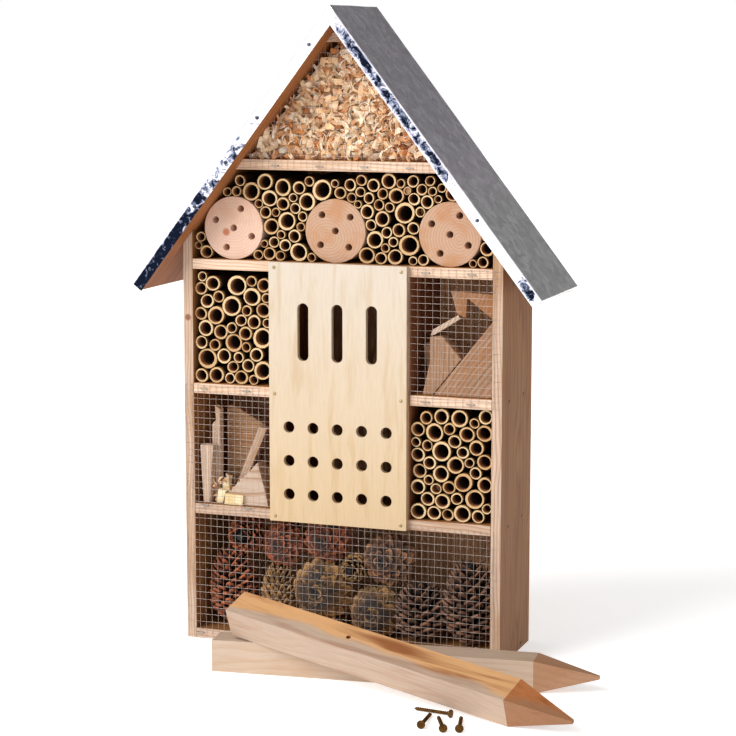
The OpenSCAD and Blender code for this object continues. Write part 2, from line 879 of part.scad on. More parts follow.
left_side();
right_side();
base_board();
lower_shelf();
mid_shelf_left();
mid_shelf_centre();
mid_shelf_right();
upper_shelf();
top_shelf();
divider_left();
divider_right();
back_panel();
roof_board_left();
roof_board_right();
ridge_block();
roof_sheet();
roof_nails();
front_plate();
plate_nails();
frame_nails();
gable_mesh();
left_mesh();
right_mesh();
bottom_mesh();
mesh_staples();
log_left();
log_middle();
log_right();
gallery_canes();
gallery_reeds();
left_bay_canes();
left_bay_reeds();
right_bay_canes();
right_bay_reeds();
gable_shavings();
left_plank();
left_lath();
left_board();
left_strut();
left_wedge();
left_chips();
right_wedge();
right_block();
right_lath();
right_board();
right_twig();
pine_cone(0);  // pine_cone_1
pine_cone(1);  // pine_cone_2
pine_cone(2);  // pine_cone_3
pine_cone(3);  // pine_cone_4
pine_cone(4);  // pine_cone_5
pine_cone(5);  // pine_cone_6
pine_cone(6);  // pine_cone_7
pine_cone(7);  // pine_cone_8
pine_cone(8);  // pine_cone_9
pine_cone(9);  // pine_cone_10
pine_cone(10);  // pine_cone_11
stake_lower();
stake_upper();
stake_screws();
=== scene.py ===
"""Looks of a boarded insect hotel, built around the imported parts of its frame.

The CAD nodes give every size and place. Each sub-assembly is a class that turns its nodes into
finished pieces: boards with eased edges and grain, a folded galvanised roof, hollow stems, drilled
logs, curled shavings, offcuts, scaly cones, wire fronts, two stakes and four screws.
"""

import json
import logging
import math
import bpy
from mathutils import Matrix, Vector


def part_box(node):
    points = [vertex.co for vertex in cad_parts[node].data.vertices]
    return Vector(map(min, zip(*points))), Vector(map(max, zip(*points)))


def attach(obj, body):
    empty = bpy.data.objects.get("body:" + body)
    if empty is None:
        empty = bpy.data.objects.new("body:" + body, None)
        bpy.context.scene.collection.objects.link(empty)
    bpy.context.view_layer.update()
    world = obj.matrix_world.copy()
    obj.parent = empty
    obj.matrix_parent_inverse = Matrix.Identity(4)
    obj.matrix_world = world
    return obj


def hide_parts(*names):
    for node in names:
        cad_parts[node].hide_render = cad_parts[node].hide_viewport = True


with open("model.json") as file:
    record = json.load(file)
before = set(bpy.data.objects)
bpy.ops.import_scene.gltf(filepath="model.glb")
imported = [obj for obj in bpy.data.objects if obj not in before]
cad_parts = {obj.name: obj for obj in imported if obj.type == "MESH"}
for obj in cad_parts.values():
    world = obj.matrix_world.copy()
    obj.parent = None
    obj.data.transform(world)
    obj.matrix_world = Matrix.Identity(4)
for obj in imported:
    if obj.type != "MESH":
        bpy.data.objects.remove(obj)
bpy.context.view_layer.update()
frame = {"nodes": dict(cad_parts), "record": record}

import zlib
from dataclasses import dataclass, field
from enum import Enum

import bmesh
import bpy
import mathutils
import numpy as np

MM = 0.001
WELD = 1e-6
FLAT = math.radians(1)
SHARP = math.radians(35)
GOLDEN = math.radians(137.508)
INWARDS = np.array([0.0, 1.0, 0.0])
LOG = logging.getLogger("insect_hotel")


# ---------------------------------------------------------------- numbers and meshes

def seeded(name: str) -> np.random.Generator:
    """Random numbers that are the same each run for a piece of this name."""
    return np.random.default_rng(zlib.crc32(name.encode()))


def linear(colour: str) -> tuple[float, float, float, float]:
    """Turns an sRGB hex colour such as "#c8a060" into linear red, green, blue and alpha."""
    parts = [int(colour[i:i + 2], 16) / 255 for i in (1, 3, 5)]
    red, green, blue = (p / 12.92 if p <= 0.04045 else ((p + 0.055) / 1.055) ** 2.4 for p in parts)
    return red, green, blue, 1.0


def points_of(mesh: bpy.types.Mesh) -> np.ndarray:
    """The places of a mesh's points, as an array of one row each, in metres."""
    flat = np.empty(len(mesh.vertices) * 3, np.float32)
    mesh.vertices.foreach_get("co", flat)
    return flat.reshape(-1, 3).astype(float)


def solids_of(node: str) -> list[np.ndarray]:
    """Splits a CAD node into its separate solids.

    Points at one place count as one, and each triangle passes the lowest label of its corners on
    until no label changes.

    Args:
        node: the CAD node's name.

    Returns:
        The points of each solid, ordered by the solid's lowest corner.
    """
    mesh = frame["nodes"][node].data
    points = points_of(mesh)
    _, same = np.unique(np.round(points, 6), axis=0, return_inverse=True)
    same = same.reshape(-1)
    corners = np.empty(len(mesh.loops), np.int64)
    mesh.loops.foreach_get("vertex_index", corners)
    triangles = same[corners].reshape(-1, 3)
    label = np.arange(same.max() + 1)
    changed = True
    while changed:
        lower = label.copy()
        np.minimum.at(lower, triangles, label[triangles].min(axis=1)[:, None])
        lower = lower[lower]
        changed = bool((lower != label).any())
        label = lower
    owner = label[same]
    solids = [points[owner == number] for number in np.unique(owner)]
    return sorted(solids, key=lambda solid: tuple(np.round(solid.min(axis=0), 4)))


@dataclass
class Surface:
    """A closed mesh in the making: its points in metres, its faces and its values per point."""

    points: np.ndarray
    quads: np.ndarray
    caps: list[list[int]] = field(default_factory=list)
    values: dict[str, np.ndarray] = field(default_factory=dict)

    def fill(self, **values: float) -> "Surface":
        """Gives every point the same values, and returns the surface."""
        self.values |= {key: np.full(len(self.points), value) for key, value in values.items()}
        return self

    @staticmethod
    def joined(surfaces: list["Surface"]) -> "Surface":
        """Puts several surfaces into one, each still closed by itself."""
        starts = np.cumsum([0] + [len(s.points) for s in surfaces])
        return Surface(
            np.concatenate([s.points for s in surfaces]),
            np.concatenate([s.quads + start for s, start in zip(surfaces, starts)]),
            [[i + int(start) for i in cap] for s, start in zip(surfaces, starts) for cap in s.caps],
            {key: np.concatenate([s.values[key] for s in surfaces]) for key in surfaces[0].values},
        )


def grid_quads(rows: int, columns: int, close_rows: bool, close_columns: bool) -> np.ndarray:
    """Faces of a grid of points, numbered row by row.

    Face (i, j) joins points (i, j), (i+1, j), (i+1, j+1) and (i, j+1), and counts on past the last
    row or column to the first one where that way is closed.
    """
    i, j = np.meshgrid(
        np.arange(rows if close_rows else rows - 1),
        np.arange(columns if close_columns else columns - 1), indexing="ij")
    below, right = (i + 1) % rows, (j + 1) % columns
    faces = np.stack([i * columns + j, below * columns + j, below * columns + right,
                      i * columns + right], axis=-1)
    return faces.reshape(-1, 4)


def loft(rings: np.ndarray, closed: bool = False) -> Surface:
    """Joins rings of points into a tube, with a flat cap at each end unless it closes on itself.

    Args:
        rings: an array of rings by points by three.
        closed: whether the last ring joins the first one, as in a wall around a bore.
    """
    count, around, _ = rings.shape
    first = list(range(around))
    last = [(count - 1) * around + k for k in range(around)]
    return Surface(rings.reshape(-1, 3), grid_quads(count, around, closed, True),
                   [] if closed else [first[::-1], last])


def leaf(middle: np.ndarray, thickness: np.ndarray | float,
         **values: np.ndarray | float) -> Surface:
    """Gives a curved sheet its thickness.

    The normal at each grid point is the cross product of the grid's two gradients. The sheet's two
    faces lie half a thickness to either side, and a strip of quads runs round the edge.

    Args:
        middle: grid of points, rows by columns by three.
        thickness: one thickness, or one for each grid point, in metres.
        values: what each grid point keeps on both faces, as one number or an array over the grid.
    """
    rows, columns, _ = middle.shape
    normal = np.cross(np.gradient(middle, axis=0), np.gradient(middle, axis=1))
    normal /= np.maximum(np.linalg.norm(normal, axis=2, keepdims=True), 1e-12)
    half = np.broadcast_to(np.asarray(thickness, float), (rows, columns))[..., None] / 2
    front = grid_quads(rows, columns, False, False)
    number = np.arange(rows * columns).reshape(rows, columns)
    edge = np.concatenate([number[0], number[1:, -1], number[-1, -2::-1], number[-2:0:-1, 0]])
    following = np.roll(edge, -1)
    back = front[:, ::-1] + rows * columns
    strip = np.stack([edge, following, following + rows * columns, edge + rows * columns], axis=1)
    points = np.concatenate([(middle + normal * half).reshape(-1, 3),
                             (middle - normal * half).reshape(-1, 3)])
    surface = Surface(points, np.concatenate([front, back, strip]))
    for key, value in values.items():
        rest = np.shape(value)[2:]
        flat = np.broadcast_to(value, (rows, columns) + rest).reshape((-1,) + rest)
        surface.values[key] = np.concatenate([flat, flat])
    return surface


def mesh_from(name: str, surface: Surface) -> bpy.types.Mesh:
    """Puts a surface into a new mesh with its values as attributes and its faces outwards."""
    mesh = bpy.data.meshes.new(name)
    mesh.from_pydata(surface.points.tolist(), [], surface.quads.tolist() + surface.caps)
    form = bmesh.new()
    form.from_mesh(mesh)
    bmesh.ops.recalc_face_normals(form, faces=form.faces)
    form.to_mesh(mesh)
    form.free()
    for key, value in surface.values.items():
        write_value(mesh, key, value)
    return mesh


def write_value(mesh: bpy.types.Mesh, key: str, value: np.ndarray) -> None:
    """Stores one number or one vector for each point as an attribute of the mesh."""
    kind, part = ("FLOAT_VECTOR", "vector") if value.ndim == 2 else ("FLOAT", "value")
    attribute = mesh.attributes.new(key, kind, "POINT")
    attribute.data.foreach_set(part, value.astype(np.float32).reshape(-1))


def write_shade_and_end_grain(mesh: bpy.types.Mesh, direction: np.ndarray, start: float, end: float) -> None:
    """Stores for each face an amount of painted shade, and on the stakes of darker end grain,
    from how far it faces along a direction.

    The amount is 0 where the normal's part along the direction is at or past start, and 1 where it
    is at or past end.
    """
    normals = np.empty(len(mesh.polygons) * 3, np.float32)
    mesh.polygons.foreach_get("normal", normals)
    facing = np.abs(normals.reshape(-1, 3) @ (direction / np.linalg.norm(direction)))
    # Per-face amount of painted shade, on the stakes with darker end grain.
    attribute = mesh.attributes.new("shade_and_end_grain", "FLOAT", "FACE")
    amount = np.clip((facing - start) / (end - start), 0, 1)
    attribute.data.foreach_set("value", amount.astype(np.float32))


def eased(node: str, edge: float) -> bpy.types.Mesh:
    """A copy of a CAD node's mesh with its corners taken off, as sanding leaves them.

    Args:
        node: the CAD node's name.
        edge: width taken off each corner, in millimetres.
    """
    form = bmesh.new()
    form.from_mesh(frame["nodes"][node].data)
    bmesh.ops.remove_doubles(form, verts=form.verts, dist=WELD)
    bmesh.ops.dissolve_limit(form, angle_limit=FLAT, verts=form.verts, edges=form.edges)
    sharp = [e for e in form.edges if e.is_manifold and e.calc_face_angle() > SHARP]
    bmesh.ops.bevel(form, geom=sharp, offset=edge * MM, segments=2, profile=0.5,
                    affect="EDGES", clamp_overlap=True)
    mesh = bpy.data.meshes.new(node + "_eased")
    form.to_mesh(mesh)
    form.free()
    return mesh


@dataclass(frozen=True)
class Grain:
    """How a piece lies in its tree.

    The attribute "grain" holds, in millimetres, the place along the trunk and the place across it
    from the pith, so one wood finish draws rings on the ends and stripes on the faces.
    """

    along: tuple[float, float, float]
    across: tuple[float, float, float]
    pith: tuple[float, float]
    trunk: float = 4000.0

    def write(self, mesh: bpy.types.Mesh, seed: str) -> None:
        """Writes the attribute for every point of a finished mesh, from its own place along the
        trunk."""
        points = points_of(mesh) / MM
        along = np.array(self.along) / np.linalg.norm(self.along)
        across = np.array(self.across) / np.linalg.norm(self.across)
        frame_axes = np.stack([along, across, np.cross(along, across)], axis=1)
        middle = (points.min(axis=0) + points.max(axis=0)) / 2
        random = seeded(seed)
        shift = np.array([random.uniform(0, self.trunk), *self.pith])
        write_value(mesh, "grain", (points - middle) @ frame_axes + shift)


# ---------------------------------------------------------------- finishes

Plug = bpy.types.NodeSocket | float | str | tuple[float, ...]
Pair = tuple[float, float]
Triple = tuple[float, float, float]
WHITE = "#ffffff"
SKIN, CUT, BORE = 0.0, 0.5, 1.0


@dataclass(frozen=True)
class Nodes:
    """Adds nodes to a tree. An input may be a value, a hex colour or a socket to link, and every
    method but put gives back the socket its result comes from."""

    tree: bpy.types.NodeTree

    def put(self, kind: str, inputs: dict[str | int, Plug] | None = None,
            **settings: object) -> bpy.types.Node:
        """Adds a node of some type with the given inputs and properties."""
        node = self.tree.nodes.new(kind)
        for key, value in settings.items():
            setattr(node, key, value)
        for key, value in (inputs or {}).items():
            if isinstance(value, bpy.types.NodeSocket):
                self.tree.links.new(value, node.inputs[key])
            else:
                node.inputs[key].default_value = linear(value) if isinstance(value, str) else value
        return node

    def stored(self, name: str, output: str = "Fac") -> Plug:
        """What the mesh stores under a name."""
        return self.put("ShaderNodeAttribute", attribute_name=name).outputs[output]

    def place(self) -> Plug:
        """The place in the object, in metres."""
        return self.put("ShaderNodeTexCoord").outputs["Object"]

    def part(self, vector: Plug, axis: str) -> Plug:
        """One number of a vector."""
        return self.put("ShaderNodeSeparateXYZ", {"Vector": vector}).outputs[axis]

    def noise(self, vector: Plug, scale: float | Triple, detail: float = 2.0, rough: float = 0.5,
              swirl: float = 0.0, output: str = "Fac") -> Plug:
        """Noise at one scale, or drawn out by a scale for each axis."""
        if isinstance(scale, tuple):
            vector = self.put("ShaderNodeMapping", {"Vector": vector, "Scale": scale}).outputs[0]
            scale = 1.0
        return self.put("ShaderNodeTexNoise", {
            "Vector": vector, "Scale": scale, "Detail": detail, "Roughness": rough,
            "Distortion": swirl}).outputs[output]

    def cells(self, vector: Plug, scale: float) -> bpy.types.Node:
        """Voronoi cells."""
        return self.put("ShaderNodeTexVoronoi", {"Vector": vector, "Scale": scale})

    def span(self, value: Plug, source: Pair = (0.0, 1.0), target: Pair = (0.0, 1.0),
             smooth: bool = False) -> Plug:
        """Maps one range onto another and holds its ends beyond it."""
        return self.put("ShaderNodeMapRange", {
            "Value": value, "From Min": source[0], "From Max": source[1], "To Min": target[0],
            "To Max": target[1]},
            interpolation_type="SMOOTHSTEP" if smooth else "LINEAR").outputs[0]

    def number(self, operation: str, *inputs: Plug) -> Plug:
        """Arithmetic on numbers."""
        return self.put("ShaderNodeMath", dict(enumerate(inputs)), operation=operation).outputs[0]

    def vector(self, operation: str, *inputs: Plug) -> Plug:
        """Arithmetic on vectors and colours; some operations give a number."""
        node = self.put("ShaderNodeVectorMath", dict(enumerate(inputs)), operation=operation)
        single = operation in ("LENGTH", "DISTANCE", "DOT_PRODUCT")
        return node.outputs["Value" if single else "Vector"]

    def times(self, first: Plug, second: Plug) -> Plug:
        """The product of two colours, or of a colour and a number."""
        return self.vector("MULTIPLY", first, second)

    def mix(self, factor: Plug, first: Plug, second: Plug) -> Plug:
        """The first colour where the factor is 0 and the second where it is 1."""
        return self.put("ShaderNodeMix", {"Factor": factor, "A": first, "B": second},
                        data_type="RGBA").outputs["Result"]

    def ramp(self, factor: Plug, *stops: tuple[float, str]) -> Plug:
        """A colour ramp with a hex colour at each place."""
        node = self.put("ShaderNodeValToRGB", {"Fac": factor})
        elements = node.color_ramp.elements
        while len(elements) < len(stops):
            elements.new(0.5)
        for element, (place, colour) in zip(elements, stops):
            element.position = place
            element.color = linear(colour)
        return node.outputs["Color"]

    def bump(self, height: Plug, strength: float, depth: float) -> Plug:
        """The normal of a rough face, its heights some millimetres deep."""
        return self.put("ShaderNodeBump", {
            "Height": height, "Strength": strength, "Distance": depth * MM}).outputs[0]


@dataclass(frozen=True)
class Finish:
    """A named finish whose material is made once."""

    name: str

    def material(self) -> bpy.types.Material:
        """The material, built on the first call."""
        found = bpy.data.materials.get(self.name)
        if found:
            return found
        material = bpy.data.materials.new(self.name)
        material.use_nodes = True
        nodes = Nodes(material.node_tree)
        nodes.tree.nodes.clear()
        shader = nodes.put("ShaderNodeBsdfPrincipled", self.dress(nodes))
        nodes.put("ShaderNodeOutputMaterial", {"Surface": shader.outputs["BSDF"]})
        return material

    def dress(self, nodes: Nodes) -> dict[str, Plug]:
        """Adds the finish's nodes and gives the inputs of its shader."""
        raise NotImplementedError


@dataclass(frozen=True)
class Softwood(Finish):
    """Pine or spruce, sawn or planed and left bare.

    Pale spring wood and darker summer wood alternate in rings around the pith, with fine fibres
    along the trunk and slow stains of resin. A ring's width, how far the rings wander and the
    radius of the heartwood are in millimetres. The stains are narrower where streaks is more than
    1. Each knot is a place and a radius, in metres.
    """

    spring: str
    summer: str
    stain: str
    ring: float = 2.6
    wander: float = 9.0
    stained: float = 0.25
    fibre: float = 0.22
    rough: float = 0.62
    relief: float = 0.16
    # Tint mixed in by the stored per-face amount: painted shade on board faces that do not look to
    # the front or back; on the stakes, painted shade and darker end grain on the point.
    shade_and_end_grain: str = "#c9a88c"
    heart: float = 0.0
    heartwood: str = "#d3a374"
    streaks: float = 1.0
    knots: tuple[tuple[float, float, float, float], ...] = ()
    knot: str = "#7c4a2c"

    def dress(self, nodes: Nodes) -> dict[str, Plug]:
        """Rings are the fraction of the distance from the pith over the ring width."""
        grain = nodes.stored("grain", "Vector")
        slow = nodes.noise(grain, (0.006, 0.022, 0.022), output="Color")
        bent = nodes.vector("MULTIPLY_ADD", nodes.vector("SUBTRACT", slow, (0.5, 0.5, 0.5)),
                            (2 * self.wander,) * 3, grain)
        radius = nodes.vector("LENGTH", nodes.times(bent, (0.0, 1.0, 1.0)))
        ring = nodes.number("FRACT", nodes.number("DIVIDE", radius, self.ring))
        rings = nodes.ramp(ring, (0.0, self.spring), (0.45, self.spring), (0.84, self.summer),
                           (0.93, self.summer), (1.0, self.spring))
        inside = nodes.span(radius, (self.heart - 5, self.heart), (1.0, 0.0), smooth=True)
        wood = nodes.mix(inside, rings, self.heartwood)
        narrow = 0.045 * self.streaks
        cloud = nodes.noise(grain, (0.009, narrow, narrow), 3.0, swirl=0.4)
        most = min(1.0, self.stained * 2.2)
        resin = nodes.span(cloud, (0.45, 0.72), (0.0, most), smooth=True)
        wood = nodes.mix(nodes.number("MULTIPLY_ADD", inside, resin, resin), wood, self.stain)
        for *place, size in self.knots:
            away = nodes.vector("DISTANCE", nodes.place(), tuple(place))
            near = nodes.span(away, (0.45 * size, size), (0.9, 0.0), smooth=True)
            wood = nodes.mix(near, wood, self.knot)
        fibres = nodes.noise(grain, (0.035, 1.1, 1.1), 5.0, rough=0.65)
        shade = nodes.span(fibres, (0.3, 0.7), (1 - self.fibre, 1 + self.fibre / 3))
        # Painted shade, and on the stakes darker end grain, by the amount stored for each face.
        tint = nodes.mix(nodes.stored("shade_and_end_grain"), WHITE, self.shade_and_end_grain)
        height = nodes.number("MULTIPLY_ADD", ring, 0.35, fibres)
        return {"Base Color": nodes.times(nodes.times(wood, shade), tint),
                "Roughness": nodes.span(fibres, target=(self.rough - 0.1, self.rough + 0.14)),
                "Normal": nodes.bump(height, 0.6, self.relief)}


@dataclass(frozen=True)
class Plywood(Finish):
    """Sanded birch-faced plywood: a pale rotary-cut face with faint figure, and three plies of
    different tone that show only on edges and in the walls of the entrances."""

    face: str = "#cdbfae"
    low: str = "#cbb08a"
    figure: str = "#f4ebdc"
    core: str = "#b08654"
    ply: float = 1.85
    heights: Pair = (0.14, 0.37)

    def dress(self, nodes: Nodes) -> dict[str, Plug]:
        """The figure is noise drawn out along the face, the plies are bands through the board, and
        the face is paler and less yellow towards its top."""
        grain = nodes.stored("grain", "Vector")
        # Colour by height only: more yellow low on the plate, paler towards its top.
        graded = nodes.mix(nodes.span(nodes.part(nodes.place(), "Z"), self.heights),
                             self.low, self.face)
        veins = nodes.ramp(nodes.noise(grain, (0.012, 0.09, 0.02), 4.0, swirl=0.6),
                           (0.3, self.figure), (0.5, WHITE), (1.0, WHITE))
        bands = nodes.number("MULTIPLY", nodes.part(grain, "Z"), math.pi / self.ply)
        inner = nodes.span(nodes.number("COSINE", bands), (0.2, 0.6), (0.0, 0.75))
        colour = nodes.mix(inner, nodes.times(graded, veins), self.core)
        pores = nodes.noise(grain, (0.08, 1.3, 1.3), 3.0)
        return {"Base Color": nodes.times(colour, nodes.span(pores, (0.3, 0.7), (0.93, 1.03))),
                "Roughness": nodes.span(pores, target=(0.5, 0.66)),
                "Normal": nodes.bump(pores, 0.4, 0.08)}


@dataclass(frozen=True)
class CutStem(Finish):
    """Dry bamboo or reed, sawn across.

    The attribute "band" tells the glossy skin, the cut wall and the bore apart, "tone" differs from
    stem to stem and "depth" is the distance behind the cut, in millimetres.
    """

    skin: str = "#a47a48"
    rind: str = "#7d5730"
    wall: str = "#ddc294"
    wall_dark: str = "#c39a68"
    bore: str = "#9a6238"
    # Painted shade: the near-black colours the bore and the skin take further behind the cut.
    deep: str = "#331c0f"
    shaded_skin: str = "#2e1f13"

    def dress(self, nodes: Nodes) -> dict[str, Plug]:
        """The wall is speckled with vascular bundles, and skin and bore darken with depth behind
        the cut:
        painted shade between the stems and inside the bore.
        """
        band, place = nodes.stored("band"), nodes.place()
        bundles = nodes.span(nodes.cells(place, 1300.0).outputs["Distance"], (0.12, 0.4),
                             (0.72, 1.0))
        wall = nodes.mix(nodes.stored("tone"), self.wall, self.wall_dark)
        lines = nodes.noise(place, (900.0, 18.0, 900.0), 3.0)
        # Depth behind the cut sets the painted shade on skin and bore.
        far = nodes.span(nodes.stored("depth"), (0.5, 12.0), smooth=True)
        skin = nodes.mix(far, nodes.mix(lines, self.skin, self.rind), self.shaded_skin)
        bore = nodes.mix(far, self.bore, self.deep)
        outside = nodes.mix(nodes.span(band, (0.1, 0.42)), skin, nodes.times(wall, bundles))
        return {"Base Color": nodes.mix(nodes.span(band, (0.6, 0.95)), outside, bore),
                "Roughness": nodes.span(band, target=(0.34, 0.8)),
                "Normal": nodes.bump(lines, 0.5, 0.12)}


@dataclass(frozen=True)
class Shaving(Finish):
    """Curled softwood chips from a plane: silky, thin enough to glow a little, and anything from
    cream sapwood to orange heartwood. The attribute "tone" differs from chip to chip."""

    pale: str = "#fff5e2"
    mid: str = "#fbd6a8"
    warm: str = "#dd8f48"
    dark: str = "#9a5426"

    def dress(self, nodes: Nodes) -> dict[str, Plug]:
        """The tone picks the wood and fine fibres run along each chip."""
        colour = nodes.ramp(nodes.stored("tone"), (0.0, self.pale), (0.45, self.mid),
                            (0.8, self.warm), (1.0, self.dark))
        fibres = nodes.noise(nodes.stored("grain", "Vector"), (0.12, 1.6, 1.6), 4.0)
        return {"Base Color": nodes.times(colour, nodes.span(fibres, (0.3, 0.7), (0.78, 1.06))),
                "Roughness": nodes.span(fibres, target=(0.42, 0.7)),
                "Normal": nodes.bump(fibres, 0.5, 0.1)}


@dataclass(frozen=True)
class ConeScale(Finish):
    """Woody scales of an open pine cone: rough, near black towards the core as painted shade
    between the scales, and paler at the exposed tip, partly its own drier wood and partly painted
    highlight.

    The attribute "tip" runs from 0 at the core to 1 at the scale's end, and "tone" differs from
    scale to scale.
    """

    inner: str
    outer: str
    end: str

    def dress(self, nodes: Nodes) -> dict[str, Plug]:
        """A ramp over "tip" is darkened by the scale's tone and broken up by noise."""
        bark = nodes.noise(nodes.place(), 420.0, 5.0, rough=0.7)
        mixed = nodes.number("MULTIPLY_ADD", nodes.number("SUBTRACT", bark, 0.5), 0.5,
                             nodes.stored("tip"))
        # Near black at the core is painted shade between the scales; the pale end is partly painted
        # highlight.
        ramp = nodes.ramp(mixed, (0.0, self.inner), (0.62, self.inner), (0.85, self.outer),
                          (0.99, self.end))
        shade = nodes.span(nodes.stored("tone"), target=(0.28, 0.88))
        return {"Base Color": nodes.times(ramp, shade), "Roughness": 0.72,
                "Normal": nodes.bump(bark, 0.7, 0.3)}


@dataclass(frozen=True)
class SpangledZinc(Finish):
    """Hot-dip galvanised sheet steel: satin crystals of zinc ("spangle") a few millimetres wide.

    The attribute "fold" sets how much of the sheet is covered by dark blue blotches, painted
    reflections of dark surroundings, and a second attribute how bright its metal is, as a painted
    highlight.
    """

    bright: str = "#e3dfe6"
    dull: str = "#dad4dc"
    # Blue and near-black of the painted dark reflections.
    reflection_blue: str = "#8790aa"
    reflection_dark: str = "#141a2b"
    spangle: float = 7.0
    blotch: float = 10.0

    def dress(self, nodes: Nodes) -> dict[str, Plug]:
        """Each spangle is a Voronoi cell with its own tone and its own slight tilt."""
        place = nodes.place()
        jagged = nodes.vector("MULTIPLY_ADD", nodes.noise(place, 90.0, output="Color"),
                              (0.006,) * 3, place)
        cells = nodes.cells(jagged, 1 / (self.spangle * MM))
        crystal = nodes.put("ShaderNodeSeparateColor", {"Color": cells.outputs["Color"]})
        # Painted highlight: the stored amount brightens the metal.
        highlight_gain = nodes.span(nodes.stored("bare"), target=(0.9, 1.5))
        metal = nodes.times(nodes.mix(crystal.outputs[0], self.dull, self.bright), highlight_gain)
        # Dark blue blotches of painted reflection where the stored amount and the noise are high.
        cloud = nodes.noise(place, 1 / (self.blotch * MM), 5.0, rough=0.72, swirl=1.2)
        spots = nodes.number("MULTIPLY_ADD", nodes.stored("fold"), 0.42, cloud)
        half_reflected = nodes.mix(nodes.span(spots, (0.7, 0.78)), metal, self.reflection_blue)
        return {"Base Color": nodes.mix(nodes.span(spots, (0.79, 0.85)), half_reflected, self.reflection_dark),
                "Roughness": nodes.span(crystal.outputs[1], target=(0.34, 0.5)), "Metallic": 1.0,
                "Normal": nodes.bump(cells.outputs["Distance"], 0.12, 0.1)}


@dataclass(frozen=True)
class Metal(Finish):
    """Bare or plated metal with faint drawing marks and a little tarnish."""

    colour: str
    tarnish: str
    rough: float
    grit: float = 0.6

    def dress(self, nodes: Nodes) -> dict[str, Plug]:
        """Noise at the size of the grit varies the gloss, and broader noise mixes tarnish in."""
        place = nodes.place()
        marks = nodes.noise(place, 1 / (self.grit * MM), 3.0)
        darkening = nodes.span(nodes.noise(place, 160.0, 3.0), (0.45, 0.7), (0.0, 0.6))
        return {"Base Color": nodes.mix(darkening, self.colour, self.tarnish), "Metallic": 1.0,
                "Roughness": nodes.span(marks, target=(self.rough - 0.08, self.rough + 0.14)),
                "Normal": nodes.bump(marks, 0.3, 0.05)}


@dataclass(frozen=True)
class PaleFloor(Finish):
    """Matt white studio floor with hardly visible mottling, lit a little from within."""

    dim: str = "#f4f4f4"
    pale: str = "#f8f8f8"
    glow: float = 0.52

    def dress(self, nodes: Nodes) -> dict[str, Plug]:
        """Broad noise shifts the white by one percent."""
        return {"Base Color": nodes.mix(nodes.noise(nodes.place(), 3.0), self.dim, self.pale),
                "Roughness": 0.9, "Emission Color": WHITE, "Emission Strength": self.glow}


PINE = Softwood("planed_pine", spring="#c8ae99", summer="#b48a6c", stain="#b08355", relief=0.12,
                shade_and_end_grain="#c9a064", fibre=0.3, stained=0.35,
                knots=((-0.1553, -0.05, 0.317, 0.0042), (0.16, -0.012, 0.36, 0.006)))
PALE_PINE = Softwood("fresh_pine", spring="#e6c9b0", summer="#d2a98a", stain="#c99d74", relief=0.12,
                     shade_and_end_grain="#c9a064")
PINK_PINE = Softwood("rough_sawn_pine", spring="#cfb6a0", summer="#b58d70", stain="#b98d5e",
                     fibre=0.3, relief=0.3, rough=0.7)
# Darker brown spruce for the dividers, seen only inside the bays.
BROWN_BOARD = Softwood("brown_spruce", spring="#c08e64", summer="#976644", stain="#855737",
                       ring=3.4, fibre=0.4, stained=0.4, relief=0.3)
BACK_BOARD = Softwood("sawn_spruce", spring="#eab483", summer="#bd875b", stain="#a87248",
                      ring=3.4, fibre=0.4, stained=0.4, relief=0.3)
ROOF_BOARD = Softwood("roof_spruce", spring="#dba874", summer="#c8925c", stain="#b57e4a", ring=4.0,
                      fibre=0.2, stained=0.3)
TAN_OFFCUT = Softwood("split_pine", spring="#a88062", summer="#92694a", stain="#a06838", ring=3.8,
                      fibre=0.4, stained=0.5, relief=0.4, rough=0.72)
SPLIT_BOARD = Softwood("split_spruce", spring="#b58a63", summer="#8f6541", stain="#a5642f",
                       ring=2.6, fibre=0.42, stained=0.6, relief=0.4, rough=0.72)
CREAM_CHIP = Softwood("pine_chip", spring="#f8e6bd", summer="#e8cb94", stain="#dfb878", fibre=0.3)
LOG_END = Softwood("sawn_log_end", spring="#bf9a80", summer="#b58b6c", stain="#b67f54", ring=2.9,
                   wander=3.0, stained=0.35, fibre=0.16, relief=0.2, rough=0.7)
PINK_LOG = Softwood("fresh_log_end", spring="#dcb8a2", summer="#d5ae96", stain="#cfa084", ring=2.9,
                    wander=3.0, fibre=0.14, relief=0.2, rough=0.7, knot="#b5603c",
                    knots=((-0.116, -0.045, 0.4, 0.005),))
STAKE_SAP = Softwood("stake_sapwood", spring="#bea792", summer="#ba9f87", stain="#b28a62", ring=4.2,
                     wander=14.0, stained=0.2, fibre=0.12, relief=0.12, shade_and_end_grain="#e2c2a8")
STAKE_HEART = Softwood("stake_heartwood", spring="#b59c88", summer="#b19781", stain="#8a5022",
                       ring=4.6, wander=26.0, stained=0.24, fibre=0.16, relief=0.12, heart=20.0,
                       heartwood="#cd9b68", shade_and_end_grain="#cfa680", streaks=1.9)
PLYWOOD = Plywood("birch_plywood")
STEM = CutStem("dry_cane_and_reed")
SHAVING = Shaving("curled_shavings")
# Inner colours are near black: painted shade between the scales; the end colours are partly painted
# highlight.
CONE_RUST = ConeScale("rusty_cone_scale", inner="#1a0a05", outer="#652a14", end="#c06a3c")
CONE_BEIGE = ConeScale("beige_cone_scale", inner="#1d110a", outer="#6c4826", end="#cb9a60")
CONE_DARK = ConeScale("dark_cone_scale", inner="#0e0705", outer="#3f2418", end="#8a5f44")
CONE_UMBER = ConeScale("umber_cone_scale", inner="#120905", outer="#5e3822", end="#c08a60")
ZINC_SHEET = SpangledZinc("galvanised_sheet")
ZINC_WIRE = Metal("galvanised_wire", colour="#bcaea6", tarnish="#8c7c73", rough=0.5)
STAPLE_WIRE = Metal("staple_wire", colour="#a9a49c", tarnish="#6d655a", rough=0.4)
